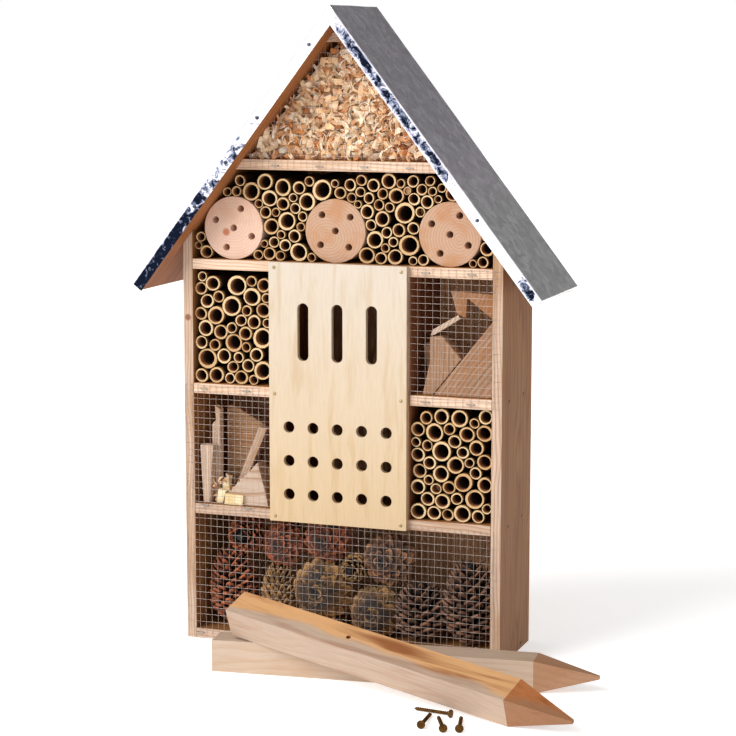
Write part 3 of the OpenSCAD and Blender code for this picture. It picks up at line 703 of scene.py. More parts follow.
# Dark blue-grey: painted shade on bright zinc heads.
ROOF_NAIL = Metal("zinc_nail", colour="#555b6a", tarnish="#1e222c", rough=0.35)
PLATE_NAIL = Metal("yellowed_wire_nail", colour="#b7a27c", tarnish="#8a744c", rough=0.45)
FRAME_NAIL = Metal("dull_wire_nail", colour="#8a745c", tarnish="#4f4032", rough=0.5)
SCREW_BRASS = Metal("yellow_passivated_screw", colour="#644520", tarnish="#1c1007", rough=0.34)
FLOOR = PaleFloor("studio_floor")


# ---------------------------------------------------------------- placing pieces

BODY_OF = {node: body for body, nodes in frame["record"]["behaviour"]["bodies"].items()
           for node in nodes}


def fit(name: str, shape: bpy.types.Mesh | list[Surface], finish: Finish, node: str,
        crease: float) -> None:
    """Adds the piece that stands for a CAD node, or for part of it, and rides with its body.

    Args:
        name: the piece's name.
        shape: its mesh, or the surfaces it is made of, in place.
        finish: the finish it is dressed in.
        node: the CAD node it replaces.
        crease: angle in degrees above which an edge stays sharp.
    """
    mesh = mesh_from(name, Surface.joined(shape)) if isinstance(shape, list) else shape
    mesh.shade_smooth()
    mesh.set_sharp_from_angle(angle=math.radians(crease))
    mesh.materials.clear()
    mesh.materials.append(finish.material())
    piece = bpy.data.objects.new(name, mesh)
    bpy.context.scene.collection.objects.link(piece)
    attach(piece, BODY_OF[node])
    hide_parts(node)
    LOG.info("%s: %d faces, %s", name, len(mesh.polygons), finish.name)


def coat(node: str, finish: Finish) -> None:
    """Dresses a CAD node that is kept as it is."""
    part = frame["nodes"][node]
    if not part.material_slots:
        part.data.materials.append(finish.material())
    for place in part.material_slots:
        place.material = finish.material()
    LOG.info("%s: kept, %s", node, finish.name)


def square_to(direction: np.ndarray) -> tuple[np.ndarray, np.ndarray]:
    """Two directions at right angles to a given one and to each other."""
    helper = np.array([0.0, 0.0, 1.0]) if abs(direction[2]) < 0.9 else np.array([1.0, 0.0, 0.0])
    first = np.cross(direction, helper)
    first /= np.linalg.norm(first)
    return first, np.cross(direction, first)


def turned(profile: np.ndarray, start: np.ndarray, direction: np.ndarray, sides: int) -> np.ndarray:
    """Rings of a turned shape.

    Args:
        profile: rows of distance along the axis and radius, in metres.
        start: where the axis starts.
        direction: the axis, of length 1.
        sides: points in each ring.
    """
    first, second = square_to(direction)
    angle = np.linspace(0, 2 * np.pi, sides, endpoint=False)
    spoke = np.cos(angle)[:, None] * first + np.sin(angle)[:, None] * second
    return start + profile[:, None, :1] * direction + profile[:, 1:, None] * spoke[None]


class Lie(Enum):
    """How a board lies: the way its grain runs and the way across it."""

    LEVEL = ((1, 0, 0), (0, 1, 0))
    UPRIGHT = ((0, 0, 1), (0, 1, 0))
    FACING = ((0, 0, 1), (1, 0, 0))
    INWARD = ((0, 1, 0), (1, 0, 0))
    LEFT_SLOPE = ((-0.61, 0, -0.79), (0, 1, 0))
    RIGHT_SLOPE = ((0.61, 0, -0.79), (0, 1, 0))
    ACROSS = ((1, 0, 0), (0, 0, 1))
    LEANING = ((0.4, 0, 0.92), (0, 1, 0))
    SLANTING = ((0.62, 0, 0.78), (0, 1, 0))


def sawn(node: str, finish: Finish, lie: Lie, pith: Pair, edge: float) -> bpy.types.Mesh:
    """Eases, grains and places a wooden CAD node.

    Args:
        node: the CAD node's name.
        finish: its wood.
        lie: how its grain runs.
        pith: how far the pith lies from its middle, in millimetres.
        edge: width taken off each corner, in millimetres.

    Returns:
        The finished mesh.
    """
    mesh = eased(node, edge)
    Grain(*lie.value, pith).write(mesh, node)
    fit(node + "_wood", mesh, finish, node, crease=20)
    return mesh


@dataclass
class Boards:
    """Carcass boards and the plate: CAD shapes with eased corners, each cut from its own place in
    the tree. A board's row gives its finish, its lie and how far the pith lies from it."""

    edge: float = 0.7
    # Facing limits of the painted shade on faces that do not look to the front or back.
    facing_range: Pair = (0.8, 0.3)
    rows: dict[str, tuple[Finish, Lie, Pair]] = field(default_factory=lambda: {
        "left_side": (PINE, Lie.UPRIGHT, (8, 60)),
        "right_side": (PINE, Lie.UPRIGHT, (-14, -75)),
        "base_board": (PINE, Lie.LEVEL, (10, 50)),
        "lower_shelf": (PINE, Lie.LEVEL, (-20, 70)),
        "mid_shelf_left": (PALE_PINE, Lie.LEVEL, (4, 44)),
        "mid_shelf_centre": (PINE, Lie.LEVEL, (12, 60)),
        "mid_shelf_right": (PALE_PINE, Lie.LEVEL, (-9, 55)),
        "upper_shelf": (PALE_PINE, Lie.LEVEL, (16, 90)),
        "top_shelf": (PALE_PINE, Lie.LEVEL, (-12, 65)),
        "divider_left": (BROWN_BOARD, Lie.UPRIGHT, (3, 60)),
        "divider_right": (BROWN_BOARD, Lie.UPRIGHT, (-3, 60)),
        "back_panel": (BACK_BOARD, Lie.FACING, (40, 90)),
        "ridge_block": (PINK_PINE, Lie.INWARD, (3, 30)),
        "roof_board_left": (ROOF_BOARD, Lie.LEFT_SLOPE, (10, 70)),
        "roof_board_right": (ROOF_BOARD, Lie.RIGHT_SLOPE, (-10, 80)),
        "front_plate": (PLYWOOD, Lie.FACING, (0, 0)),
    })

    def build(self) -> None:
        """Places every board, with painted shade on the faces that do not look to the front or the
        back.
        """
        for node, row in self.rows.items():
            # Painted shade on the faces that do not look to the front or the back.
            write_shade_and_end_grain(sawn(node, *row, self.edge), INWARDS, *self.facing_range)


@dataclass
class RoofSheet:
    """Folded roof sheet: two slopes, edges turned down over the boards' ends, and eave lips.

    Thickness, fold, bend, lip and wave are in millimetres. The two rows of amounts give how much
    dark blotching of painted reflection each slope has at shares of its length, from ridge to eave.
    """

    thickness: float = 0.5
    fold: float = 11.0
    bend: float = 0.9
    lip: float = 5.8
    wave: float = 0.22
    steps: int = 40
    ripple: float = 61 / 0.31 / 6
    # Amounts of painted dark reflection along each slope, from ridge to eave.
    reflection_left: tuple[tuple[float, ...], ...] = (
        (0, 0.3, 0.36, 0.42, 0.5, 0.62, 0.7, 0.8, 1),
        (0, 0, 0.4, 0.3, 0.55, 0.66, 0.86, 1.02, 1.04))
    reflection_right: tuple[tuple[float, ...], ...] = (
        (0, 0.04, 0.1, 0.56, 0.64, 0.9, 0.93, 0.97, 1),
        (0, 0.4, 0.8, 0.8, 0.1, 0.1, 0.9, 0.9, 0.1))

    def corners(self) -> tuple[np.ndarray, float, float]:
        """The ridge, the slope's length and its pitch, read from the CAD sheet."""
        points = points_of(frame["nodes"]["roof_sheet"].data)
        outer = points[points[:, 0] > points[:, 0].max() - 0.0001]
        eave = outer[outer[:, 2].argmax()]
        top = points[:, 2].max()
        drop = top - eave[2]
        return np.array([0, 0, top]), math.hypot(eave[0], drop), math.atan2(drop, eave[0])

    def section(self, low: float, high: float) -> np.ndarray:
        """Rows of Y, depth under the slope and share of painted reflection, from front to back
        edge.
        """
        bend = self.bend * MM
        flange = [[low, part * self.fold * MM, blotch] for part, blotch in (
            (1.0, 0.3), (0.88, 0.7), (0.65, 1.0), (0.4, 1.0), (0.2, 0.95))]
        front = np.array(flange + [[low, bend, 0.4], [low + 0.3 * bend, 0.3 * bend, 0.0],
                                   [low + bend, 0, 0]])
        middle = np.linspace(low + 0.008, high - 0.008, 12)
        level = np.stack([middle, 0 * middle, 0 * middle], axis=1)
        back = front[::-1].copy()
        back[:, 0] = high + low - back[:, 0]
        return np.concatenate([front, level, back])

    def build(self) -> None:
        """Sweeps the section along both slopes and adds a lip at each eave.

        A point is the ridge, plus its distance down the slope, minus its depth along the slope's
        normal. Slow sine waves dent the sheet inwards by up to a fraction of a millimetre.
        """
        ridge, length, pitch = self.corners()
        low, high = (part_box("roof_sheet")[i][1] for i in (0, 1))
        half = self.thickness * MM / 2
        rows = self.section(low + half, high - half)
        share = np.linspace(-1, 1, 2 * self.steps + 1)
        down = np.abs(share) * (length - half)
        side = np.sign(share)
        slope = np.stack([side * math.cos(pitch), np.zeros_like(share),
                          np.full_like(share, -math.sin(pitch))], axis=1)
        normal = np.stack([side * math.sin(pitch), np.zeros_like(share),
                           np.full_like(share, math.cos(pitch))], axis=1)
        normal[self.steps] = [0, 0, 1 / math.cos(pitch)]
        y, depth, blotch = (rows[:, k][:, None] for k in range(3))
        dent = self.wave * MM * (0.5 + 0.25 * np.sin(self.ripple * down + 40 * y)
                                 + 0.25 * np.sin(17 * share[None] + 90 * y))
        on_fold = depth > 0.002
        lowered = depth + half + np.where(on_fold, 0, dent)
        pushed = y + np.where(on_fold, np.where(y < 0, dent, -dent), 0)
        middle = (ridge + down[None, :, None] * slope[None] - lowered[..., None] * normal[None]
                  + pushed[..., None] * INWARDS)
        # Painted dark reflection: on the left only on the folded edge, on the right the section's
        # share times the row.
        left, right = (np.interp(down / length, *darkening)
                       for darkening in (self.reflection_left, self.reflection_right))
        darkening = np.where(share < 0, (depth > 0.0005) * left, blotch * right)
        # Painted highlight: brightest on the left folded edge, dim on the left slope, brighter down
        # the right slope to its eave.
        highlight_amount = np.where(on_fold & (share < 0), 1.6, 0.35 + 1.1 * np.clip(share, 0, 1) ** 2)
        sheet = leaf(middle, self.thickness * MM, fold=darkening, bare=highlight_amount)
        parts = [sheet] + [self.eave_lip(ridge, length, pitch, way, low, high) for way in (-1, 1)]
        fit("roof_sheet_zinc", parts, ZINC_SHEET, "roof_sheet", crease=50)

    def eave_lip(self, ridge: np.ndarray, length: float, pitch: float, way: int,
                 low: float, high: float) -> Surface:
        """The strip that is turned down at one eave, with a slow wave along it."""
        along = np.linspace(low + 0.002, high - 0.002, 30)[:, None]
        depth = np.linspace(0.0008, self.lip * MM, 5)[None]
        out = np.array([way * math.cos(pitch), 0, -math.sin(pitch)])
        up = np.array([way * math.sin(pitch), 0, math.cos(pitch)])
        back = (length - self.thickness * MM / 2 - 0.0001 - 0.0001 * np.sin(55 * along)) + 0 * depth
        middle = (ridge + back[..., None] * out - (depth + 0 * along)[..., None] * up
                  + (along + 0 * depth)[..., None] * INWARDS)
        # The lip has a little painted dark reflection and the full painted highlight.
        return leaf(middle, self.thickness * MM, fold=0.1, bare=1.0)


@dataclass
class Nails:
    """Round-headed nails, turned as one profile with a slightly domed head. Head and shank are
    shares of the radius of the CAD nail's head."""

    sides: int = 12
    head: float = 0.85
    shank: float = 0.43

    def nail(self, solid: np.ndarray) -> Surface:
        """Turns a nail in the place of one CAD nail: the head is at its wider end."""
        low, high = solid.min(axis=0), solid.max(axis=0)
        axis = int((high - low).argmax())
        middle = (low + high) / 2
        off = np.linalg.norm(np.delete(solid - middle, axis, axis=1), axis=1)
        head_low = solid[off > 0.9 * off.max(), axis].mean() < middle[axis]
        direction = np.zeros(3)
        direction[axis] = 1 if head_low else -1
        start = middle.copy()
        start[axis] = low[axis] if head_low else high[axis]
        length = high[axis] - low[axis]
        thin, wide = self.shank * off.max(), self.head * off.max()
        profile = np.array([
            [0.00002, 0.3 * wide], [0.00012, 0.75 * wide], [0.0004, 0.98 * wide],
            [0.0009, wide], [0.00095, thin], [0.8 * length, thin], [length, 0.2 * thin]])
        return loft(turned(profile, start, direction, self.sides))

    def build(self) -> None:
        """Makes the roof's nails, dark blue-grey as painted shade, and the wire nails of the plate
        and the carcass.
        """
        for node, finish in (("roof_nails", ROOF_NAIL), ("plate_nails", PLATE_NAIL),
                             ("frame_nails", FRAME_NAIL)):
            fit(node + "_steel", [self.nail(solid) for solid in solids_of(node)], finish, node,
                crease=50)


@dataclass
class WireFronts:
    """Welded wire mesh: thin drawn wires that are never quite straight.

    Stray and pace, the steps along a wire, are in millimetres. A wire is drawn at a share of its
    CAD radius, and the gable's wires at a fine one.
    """

    sides: int = 6
    stray: float = 0.16
    pace: float = 12.0
    drawn: float = 0.54
    fine: float = 0.42

    def wire(self, solid: np.ndarray, random: np.random.Generator, drawn: float) -> Surface:
        """One wire along its CAD wire, wandering in its panel's plane as two sine waves."""
        low, high = solid.min(axis=0), solid.max(axis=0)
        axis = 0 if high[0] - low[0] > high[2] - low[2] else 2
        length = high[axis] - low[axis]
        count = max(4, int(length / MM / self.pace))
        along = np.linspace(0, 1, count)
        waves = random.uniform(0, 2 * np.pi, 2)
        stray = self.stray * MM * (np.sin(length * 25 * along + waves[0])
                                   + 0.6 * np.sin(length * 90 * along + waves[1]))
        path = np.tile((low + high) / 2, (count, 1))
        path[:, axis] = low[axis] + along * length
        path[:, 2 - axis] += stray
        radius = (high[1] - low[1]) / 2 * drawn
        angle = np.linspace(0, 2 * np.pi, self.sides, endpoint=False)
        around = np.zeros((self.sides, 3))
        around[:, 1] = radius * np.cos(angle)
        around[:, 2 - axis] = radius * np.sin(angle)
        return loft(path[:, None, :] + around[None])

    def build(self) -> None:
        """Strings the four panels and coats their staples."""
        for node in ("gable_mesh", "left_mesh", "right_mesh", "bottom_mesh"):
            random = seeded(node)
            drawn = self.fine if node == "gable_mesh" else self.drawn
            wires = [self.wire(solid, random, drawn) for solid in solids_of(node)]
            fit(node + "_wires", wires, ZINC_WIRE, node, crease=60)
        coat("mesh_staples", STAPLE_WIRE)


@dataclass
class Stems:
    """Bamboo canes and reeds, sawn to length and packed: each a wall around a true bore. Of those
    with a radius under slim, in millimetres, a share is plugged."""

    wall: float = 0.13
    sides: int = 14
    plugged: float = 0.12
    slim: float = 5.6
    rim: float = 0.0005
    chamfer: float = 0.0003

    def stem(self, solid: np.ndarray, random: np.random.Generator) -> list[Surface]:
        """One stem in the place of one CAD tube.

        The radius is slightly oval, the bore lies off the middle and the saw cut leans, so the
        rings run round a closed profile of skin, cut wall and bore. A few stems have a pith or a
        node's partition some way in.
        """
        low, high = solid.min(axis=0), solid.max(axis=0)
        middle = (low + high) / 2
        outer = (high[0] - low[0]) / 2
        inner = outer * (1 - 2 * self.wall)
        angle = np.linspace(0, 2 * np.pi, self.sides, endpoint=False) + random.uniform(0, 1)
        oval = 0.985 - 0.022 * np.cos(2 * angle + random.uniform(0, 6))
        off = random.uniform(-0.06, 0.06, 2) * outer
        lean = random.uniform(-0.07, 0.07, 2)
        # The last number of each row is its depth behind the cut, which sets the painted shade on
        # skin and bore.
        rows = np.array([
            [outer, high[1], SKIN, 99.0], [outer, low[1] + 0.014, SKIN, 24.0],
            [outer, low[1] + self.rim, SKIN, 3.0],
            [outer - self.chamfer, low[1], CUT, 0.0], [inner + self.chamfer, low[1], CUT, 0.0],
            [inner, low[1] + self.rim, BORE, 0.5],
            [inner, high[1], BORE, (high[1] - low[1]) / MM]])
        bored = (rows[:, 0] < (outer + inner) / 2)[:, None]
        x = rows[:, :1] * oval * np.cos(angle) + bored * off[0]
        z = rows[:, :1] * oval * np.sin(angle) + bored * off[1]
        fore = (rows[:, 1] < middle[1])[:, None]
        y = rows[:, 1:2] + fore * (lean[0] * x + lean[1] * z)
        rings = np.stack([middle[0] + x, y, middle[2] + z], axis=2)
        tube = loft(rings, closed=True)
        tube.values = {"band": np.repeat(rows[:, 2], self.sides),
                       "depth": np.repeat(rows[:, 3], self.sides)}
        tube.fill(tone=random.uniform(0, 1))
        if random.uniform() > self.plugged or outer > self.slim * MM:
            return [tube]
        front = low[1] + random.uniform(0.0015, 0.012)
        disc = np.array([[0.0, inner * 0.97], [0.002, inner * 0.97]])
        centre = np.array([middle[0] + off[0], front, middle[2] + off[1]])
        plug = loft(turned(disc, centre, INWARDS, 10))
        return [tube, plug.fill(band=CUT, depth=0.0, tone=1.6)]

    def build(self) -> None:
        """Fills the gallery and the two bays."""
        for bay in ("gallery", "left_bay", "right_bay"):
            for kind in ("canes", "reeds"):
                node = f"{bay}_{kind}"
                random = seeded(node)
                stems = [part for solid in solids_of(node) for part in self.stem(solid, random)]
                fit(node + "_cut", stems, STEM, node, crease=50)


@dataclass
class Logs:
    """Three pieces of drilled log, sawn across and peeled."""

    edge: float = 0.6
    rows: dict[str, tuple[Finish, Pair]] = field(default_factory=lambda: {
        "log_left": (PINK_LOG, (3.0, 9.0)), "log_middle": (LOG_END, (7.0, -6.0)),
        "log_right": (LOG_END, (-9.0, -4.0))})

    def build(self) -> None:
        """Eases each log's rims and centres its rings on its pith."""
        for node, (finish, pith) in self.rows.items():
            sawn(node, finish, Lie.INWARD, pith, self.edge)


@dataclass
class ShavingsHeap:
    """The gable's filling: curled chips over a lumpy bed of the same. A chip's radius, length,
    width and thickness and the depth of the layer are in millimetres."""

    chips: int = 1500
    layer: float = 15.0
    radius: Pair = (4.0, 12.0)
    length: Pair = (7.0, 20.0)
    width: Pair = (2.6, 6.2)
    thickness: Pair = (0.4, 0.9)
    tone: Pair = (1.6, 2.2)

    def chip(self, place: np.ndarray, random: np.random.Generator, size: float = 1.0) -> Surface:
        """One chip: a strip that curls around an arc, a little narrower at its ends.

        The strip's points are the arc of its radius times the cosine and sine of the angle along
        it, plus its width across, with a twist that grows along it. A random quaternion turns it.
        """
        radius, length, width = (random.uniform(*limits) * MM * size
                                 for limits in (self.radius, self.length, self.width))
        angle = np.linspace(-0.5, 0.5, 6)[:, None] * length / radius
        taper = 1 - 0.5 * (2 * angle * radius / length) ** 4
        across = np.linspace(-0.5, 0.5, 3)[None] * width * taper
        twist = random.uniform(-0.5, 0.5) * angle
        x = radius * np.sin(angle) + 0 * across
        y = radius * (1 - np.cos(angle)) + across * np.sin(twist)
        z = across * np.cos(twist)
        turns = random.normal(size=4)
        turns[0] += 1.2
        turns /= np.linalg.norm(turns)
        w, a, b, c = turns
        turn = np.array([
            [1 - 2 * (b * b + c * c), 2 * (a * b - c * w), 2 * (a * c + b * w)],
            [2 * (a * b + c * w), 1 - 2 * (a * a + c * c), 2 * (b * c - a * w)],
            [2 * (a * c - b * w), 2 * (b * c + a * w), 1 - 2 * (a * a + b * b)]])
        spin = random.uniform(0, 2 * np.pi)
        level = np.array([[math.cos(spin), 0, -math.sin(spin)], [0, 1, 0],
                          [math.sin(spin), 0, math.cos(spin)]])
        curl = np.stack([x, y, z], axis=2) @ (level @ turn).T
        local = np.stack([angle * radius + 0 * across, across, 0 * x], axis=2) / MM
        return leaf(curl + place, random.uniform(*self.thickness) * MM,
                    grain=local + random.uniform(0, 500, 3), tone=random.beta(*self.tone))

    def build(self) -> None:
        """Scatters the chips evenly through the front layer of the heap's outline, and on above its
        top to a peak at most a fifth higher."""
        points = points_of(frame["nodes"]["gable_shavings"].data)
        base, top = points[:, 2].min(), points[:, 2].max()
        wide = points[:, 0].max()
        shoulder = points[points[:, 2] > top - 0.008]
        narrow = shoulder[:, 0].max()
        front = points[:, 1].min()
        random = seeded("gable_shavings")
        parts: list[Surface] = []
        peak = min((wide - 0.008) / (wide - narrow), 1.2)
        while len(parts) < self.chips:
            share = random.uniform(0.0, peak)
            across = random.uniform(-wide, wide)
            if abs(across) > wide + (narrow - wide) * share - 0.004:
                continue
            place = np.array([across, front + 0.003 + random.uniform(0, self.layer) * MM,
                              base + 0.003 + share * (top - base - 0.006)])
            parts.append(self.chip(place, random))
        parts.append(self.bed(wide, narrow, base, top, front, random))
        fit("gable_shavings_chips", parts, SHAVING, "gable_shavings", crease=60)

    def bed(self, wide: float, narrow: float, base: float, top: float, front: float,
            random: np.random.Generator) -> Surface:
        """The heap behind the chips: a lumpy sheet, its bumps a sum of sine waves."""
        across = np.linspace(-1, 1, 60)[None]
        up = np.linspace(0, 1, 40)[:, None]
        half = wide + (narrow - wide) * up - 0.001
        x = half * across
        z = base + up * (top - base - 0.003) + 0 * across
        lumps = sum(np.sin(random.uniform(60, 420) * x + random.uniform(0, 6))
                    * np.sin(random.uniform(60, 420) * z + random.uniform(0, 6)) for _ in range(8))
        y = front + (self.layer - 2) * MM + 0.0012 * lumps
        heap = leaf(np.stack([x, y, z], axis=2), 0.003, tone=0.6)
        heap.values["grain"] = heap.points / MM
        return heap


@dataclass
class Offcuts:
    """Split and sawn bits of wood stacked behind the bottom wire, each with rough-sawn corners, and
    small flakes over the chips. A row gives an offcut's finish, its lie, how far the pith lies from
    it and the width taken off its corners."""

    flakes: int = 60
    flake: float = 0.55
    crowd: Triple = (0.8, 1.0, 2.6)
    inset: Triple = (0.002, 0.004, 0.003)
    reach: Triple = (0.66, 0.25, 0.75)
    rows: dict[str, tuple[Finish, Lie, Pair, float]] = field(
        default_factory=lambda: {
            "left_plank": (PINK_PINE, Lie.UPRIGHT, (20, 30), 0.8),
            "left_lath": (PINK_PINE, Lie.UPRIGHT, (8, 20), 0.8),
            "left_board": (SPLIT_BOARD, Lie.ACROSS, (40, 60), 0.9),
            "left_strut": (PINE, Lie.LEANING, (6, 30), 0.7),
            "left_wedge": (PINK_PINE, Lie.ACROSS, (14, 40), 0.8),
            "left_chips": (CREAM_CHIP, Lie.ACROSS, (10, 20), 0.4),
            "right_wedge": (TAN_OFFCUT, Lie.SLANTING, (14, -20), 0.8),
            "right_block": (TAN_OFFCUT, Lie.UPRIGHT, (14, 24), 1.0),
            "right_lath": (PINK_PINE, Lie.LEANING, (8, 20), 0.5),
            "right_board": (TAN_OFFCUT, Lie.LEANING, (12, 40), 0.7),
            "right_twig": (LOG_END, Lie.INWARD, (1, 1), 0.5),
        })

    def build(self) -> None:
        """Eases, grains and places every offcut, and scatters the flakes."""
        for node, row in self.rows.items():
            sawn(node, *row)
        self.scatter()

    def scatter(self) -> None:
        """Drops small flakes on and around the left bay's chips, fewer of them higher up."""
        low, high = (np.array(corner, float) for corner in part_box("left_chips"))
        random = seeded("left_flakes")
        parts = []
        for _ in range(self.flakes):
            share = random.uniform(0, 1, 3) ** self.crowd
            place = low + self.inset + share * ((high - low) * self.reach)
            parts.append(ShavingsHeap().chip(place, random, self.flake))
        fit("left_flakes", parts, SHAVING, "left_chips", crease=60)


class Way(Enum):
    """Which way a cone's tip points, and whether its stalk end is the low end of its box there."""

    UP = ((0, 0, 1), True)
    BACK = ((0, 1, 0), True)
    FRONT = ((0, -1, 0), False)


@dataclass
class Cones:
    """Pine cones: woody scales on a spiral that turns by the golden angle from one to the next.

    A row gives a cone's finish, its way, how far its scales stand open, from 0 to 1, and its radius
    as a multiple of the CAD cone's. The share is where along a cone it is widest. The core is a
    share of the radius. Shut is the tilt of a closed scale and opened that of an open one at the
    stalk and its rise to the tip, in degrees. Crowd is the number of scales for the area of one,
    and what a closed cone has on top. Sheet holds a scale's thickness from core to end, in
    millimetres.
    """

    share: float = 0.35
    core: float = 0.2
    shut: float = 72.0
    opened: Pair = (-8.0, 66.0)
    smallest: float = 0.0068
    crowd: Pair = (6.0, 2.4)
    sheet: tuple[float, ...] = (0.5, 0.7, 0.9, 1.4, 3.2, 2.2)
    margin: float = 0.00005
    rows: tuple[tuple[ConeScale, Way, float, float], ...] = (
        (CONE_RUST, Way.UP, 0.95, 1.18), (CONE_BEIGE, Way.UP, 0.25, 1.16),
        (CONE_BEIGE, Way.BACK, 0.45, 1.06), (CONE_BEIGE, Way.BACK, 0.45, 1.14),
        (CONE_DARK, Way.UP, 0.85, 1.36), (CONE_DARK, Way.UP, 0.9, 1.07),
        (CONE_BEIGE, Way.FRONT, 0.8, 1.1), (CONE_RUST, Way.FRONT, 0.9, 1.2),
        (CONE_RUST, Way.BACK, 0.8, 1.24), (CONE_RUST, Way.BACK, 0.8, 1.2),
        (CONE_UMBER, Way.BACK, 0.8, 1.3))

    def outline(self, t: float | np.ndarray) -> np.ndarray:
        """The cone's radius along its length, as a share of the widest: a power of a sine up to the
        widest place, and half an ellipse from there to the tip."""
        t = np.asarray(t, float)
        low = np.sin(np.pi / 2 * np.clip(t / self.share, 0.002, 1)) ** 0.6
        high = np.sqrt(np.clip(1 - ((t - self.share) / (1.03 - self.share)) ** 2, 0, 1))
        return np.where(t < self.share, low, high)

    def scale(self, turn: float, t: float, length: float, radius: float, size: float,
              stance: float) -> np.ndarray:
        """One scale's middle surface with the cone's axis along its third coordinate.

        It runs out from the core to the outline and up by the tangent of its tilt, which grows from
        the stalk to the tip and with how closed the cone is. Its width swells to the outer third
        and its end is rounded: the run out is shortened by the square of the place across.
        """
        reach = float(self.outline(t)) * radius
        core = self.core * reach
        stalk, gain = self.opened
        tilt = math.radians(self.shut * (1 - stance) + stance * (gain * t + stalk))
        rise = min((reach - core) * math.tan(tilt), 0.42 * length)
        out = np.linspace(0, 1, 6)[:, None]
        wide = np.linspace(-1, 1, 5)[None]
        run = out * (1 - 0.22 * wide ** 2 * out)
        r = core + (reach - core) * run ** 0.85
        z = t * length - rise * (1 - run) + 0.05 * size * (1 - wide ** 2) * out
        half = size * (0.16 + 0.42 * np.sin(2.1 * out ** 1.3)) * wide
        around = turn + half / np.maximum(r, 0.45 * reach)
        return np.stack([r * np.cos(around), r * np.sin(around), z], axis=2)

    def cone(self, node: str, way: Way, stance: float, spread: float) -> Surface:
        """Builds a cone around its CAD cone's axis: core first, then one scale per step.

        The tip values of a cone seen from its stalk end rise faster, so that more of each scale is
        bared and less of it gets the painted shade of the core colour.
        """
        random = seeded(node)
        low, high = (np.array(corner, float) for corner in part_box(node))
        direction = np.array(way.value[0], float)
        axis = int(np.abs(direction).argmax())
        start = (low + high) / 2
        start[axis] = low[axis] if way.value[1] else high[axis]
        length = high[axis] - low[axis]
        radius = max(np.delete(high - low, axis)) / 2 * spread
        grown = np.where(np.arange(3) == axis, 0.0, radius * (1 - 1 / spread))
        low, high = low - grown, high + grown
        size = max(self.smallest, radius * 0.34)
        count = int((self.crowd[0] + self.crowd[1] * (1 - stance)) * length * radius / size ** 2)
        first, second = square_to(direction)
        along = np.linspace(0.01, 0.94, 14)
        profile = np.stack([along * length, 0.3 * radius * self.outline(along)], axis=1)
        # The core gets the core colour and a low tone: painted shade inside the cone.
        parts = [loft(turned(profile, start, direction, 12)).fill(tip=0.0, tone=0.1)]
        thick = np.repeat(np.array(self.sheet)[:, None], 5, axis=1) * MM
        bared = 0.5 if way is Way.BACK else 1.0
        tip = np.linspace(0, 1, 6)[:, None] ** bared
        for step in range(count):
            t = 0.01 + 0.96 * (step + 0.5) / count
            local = size * (1.05 - 0.75 * abs(t - self.share)) * random.uniform(0.88, 1.1)
            turn = step * GOLDEN + random.uniform(-0.09, 0.09)
            bend = float(np.clip(stance + random.uniform(-0.12, 0.12), 0, 1))
            middle = self.scale(turn, t, length, radius * random.uniform(0.93, 1.0), local, bend)
            middle[..., 2] = np.clip(middle[..., 2], 0.0012, length - 0.0012)
            placed = (start + middle[..., :1] * first + middle[..., 1:2] * second
                      + middle[..., 2:] * direction)
            parts.append(leaf(placed, thick * min(1.0, local / 0.0085), tip=tip,
                              tone=random.uniform(0, 1)))
        whole = Surface.joined(parts)
        whole.points = np.clip(whole.points, low + self.margin, high - self.margin)
        return whole

    def build(self) -> None:
        """Places the eleven cones."""
        for number, (finish, *shape) in enumerate(self.rows, 1):
            node = f"pine_cone_{number}"
            fit(node + "_scales", [self.cone(node, *shape)], finish, node, crease=50)


@dataclass
class Stakes:
    """Two pointed stakes that lie on the ground and on each other, split from pine."""

    edge: float = 1.1
    # Facing limits of the darker point faces: end grain and painted shade.
    facing_range: Pair = (0.08, 0.2)

    def build(self) -> None:
        """Eases each stake and runs its grain from blunt end to point."""
        for node, finish, pith in (("stake_lower", STAKE_SAP, (30.0, 44.0)),
                                   ("stake_upper", STAKE_HEART, (-4.0, 16.0))):
            mesh = eased(node, self.edge)
            points = points_of(mesh)
            spread = points - points.mean(axis=0)
            along = np.linalg.eigh(spread.T @ spread)[1][:, 2]
            along = along * np.sign(along[0])
            across, _ = square_to(along)
            Grain(tuple(along), tuple(across), pith).write(mesh, node)
            # Point faces and blunt end darkened: partly end grain, partly painted shade.
            write_shade_and_end_grain(mesh, along, *self.facing_range)
            fit(node + "_wood", mesh, finish, node, crease=20)


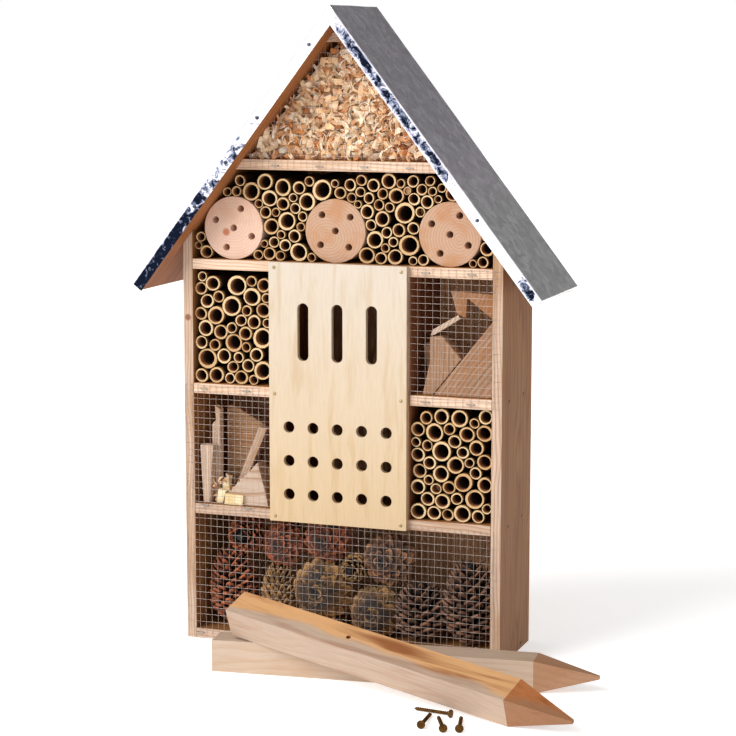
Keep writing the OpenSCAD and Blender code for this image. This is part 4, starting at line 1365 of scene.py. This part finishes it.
@dataclass
class Screws:
    """Four countersunk screws with a running thread.

    The pitch is in millimetres, the shank a share of the head's radius, and the ridge half a
    thread's width as a share of the pitch. Core, rise and smooth are shares of the shank: the
    thread's root, its height above that, and the ends without a thread.
    """

    pitch: float = 1.9
    shank: float = 0.46
    ridge: float = 0.22
    core: float = 0.72
    rise: float = 0.27
    smooth: float = 0.98
    sides: int = 20

    def screw(self, solid: np.ndarray) -> Surface:
        """Turns a screw in the place of one CAD screw.

        The radius is the core plus a ridge that runs up by one pitch for each turn, so each ring
        has its own place on the ridge.
        """
        middle = solid.mean(axis=0)
        spread = solid - middle
        direction = np.linalg.eigh(spread.T @ spread)[1][:, 2]
        place = spread @ direction
        off = np.linalg.norm(spread - place[:, None] * direction, axis=1)
        if place[off > 0.9 * off.max()].mean() > 0:
            direction = -direction
            place = -place
        start = middle + place.min() * direction
        length = place.max() - place.min()
        head = off.max()
        shank = self.shank * head
        along = np.arange(0.0035, length - 0.0035, self.pitch * MM / 6)
        profile = np.concatenate([
            [[0.0, 0.5 * head], [0.0001, 0.93 * head], [0.0007, 0.96 * head], [0.003, shank]],
            np.stack([along, np.full_like(along, shank)], axis=1),
            [[length - 0.003, shank], [length - 0.0002, 0.08 * shank]]])
        rings = turned(profile, start, direction, self.sides)
        turn = np.linspace(0, 1, self.sides, endpoint=False)[None]
        phase = (profile[:, :1] / (self.pitch * MM) - turn) % 1.0
        ridge = np.clip(1 - np.abs(phase - 0.5) / self.ridge, 0, 1)
        inside = ((profile[:, 0] > 0.004) & (profile[:, 0] < length - 0.0015))[:, None]
        depth = np.where(inside, self.core + self.rise * ridge, self.smooth)
        axis = start + profile[:, None, :1] * direction
        return loft(axis + (rings - axis) * depth[..., None])

    def build(self) -> None:
        """Places the four screws."""
        screws = [self.screw(solid) for solid in solids_of("stake_screws")]
        fit("stake_screws_threaded", screws, SCREW_BRASS, "stake_screws", crease=40)


# ---------------------------------------------------------------- studio

@dataclass
class Studio:
    """A white light table, a world that is bright to the front left and dim behind, one broad sun
    and the camera."""

    floor: float = 9.0
    towards: Triple = (-0.55, -0.70, 0.60)
    sun: float = 2.5
    softness: float = 35.0
    dim: float = 0.16
    bright: float = 0.85
    lens: float = 106.42
    sensor: float = 36.0
    eye: Triple = (0.7162, -1.9442, 0.5796)
    tilt: float = 8.54
    turn: float = 19.94

    def build(self) -> None:
        """Sets the stage."""
        mesh = bpy.data.meshes.new("floor")
        half = self.floor
        mesh.from_pydata([(-half, -half, 0), (half, -half, 0), (half, half, 0), (-half, half, 0)],
                         [], [(0, 1, 2, 3)])
        mesh.materials.append(FLOOR.material())
        floor = bpy.data.objects.new("floor", mesh)
        bpy.context.scene.collection.objects.link(floor)
        self.world()
        self.light()
        self.camera()

    def world(self) -> None:
        """White to look at; as a light it rises from dim to bright towards the front left."""
        world = bpy.data.worlds.new("studio")
        bpy.context.scene.world = world
        world.use_nodes = True
        nodes = Nodes(world.node_tree)
        nodes.tree.nodes.clear()
        around = nodes.put("ShaderNodeTexCoord").outputs["Generated"]
        facing = nodes.vector("DOT_PRODUCT", around, (-0.6, -0.8, 0.0))
        level = nodes.span(facing, (-0.7, 0.9), (self.dim, self.bright), smooth=True)
        seen = nodes.put("ShaderNodeLightPath").outputs["Is Camera Ray"]
        light = nodes.put("ShaderNodeBackground", {
            "Color": WHITE, "Strength": nodes.number("MAXIMUM", level, seen)})
        nodes.put("ShaderNodeOutputWorld", {"Surface": light.outputs[0]})

    def light(self) -> None:
        """A broad lamp far to the front left, as even as a large softbox."""
        lamp = bpy.data.lights.new("key", "SUN")
        lamp.energy = self.sun
        lamp.angle = math.radians(self.softness)
        key = bpy.data.objects.new("key", lamp)
        key.rotation_euler = mathutils.Vector(self.towards).to_track_quat("Z", "Y").to_euler()
        bpy.context.scene.collection.objects.link(key)

    def camera(self) -> None:
        """A long lens, a little above the hotel and to its right."""
        lens = bpy.data.cameras.new("camera")
        lens.lens = self.lens
        lens.sensor_width = self.sensor
        eye = bpy.data.objects.new("camera", lens)
        eye.location = self.eye
        eye.rotation_euler = (math.radians(90 - self.tilt), 0.0, math.radians(self.turn))
        bpy.context.scene.collection.objects.link(eye)
        bpy.context.scene.camera = eye
        bpy.context.scene.view_settings.view_transform = "Standard"


def main() -> None:
    """Builds the object's sub-assemblies from the carcass outwards, then the studio."""
    logging.basicConfig(level=logging.INFO, format="%(name)s: %(message)s")
    for assembly in (Boards(), RoofSheet(), Nails(), WireFronts(), Stems(), Logs(), ShavingsHeap(),
                     Offcuts(), Cones(), Stakes(), Screws(), Studio()):
        assembly.build()


if __name__ == "__main__":
    main()
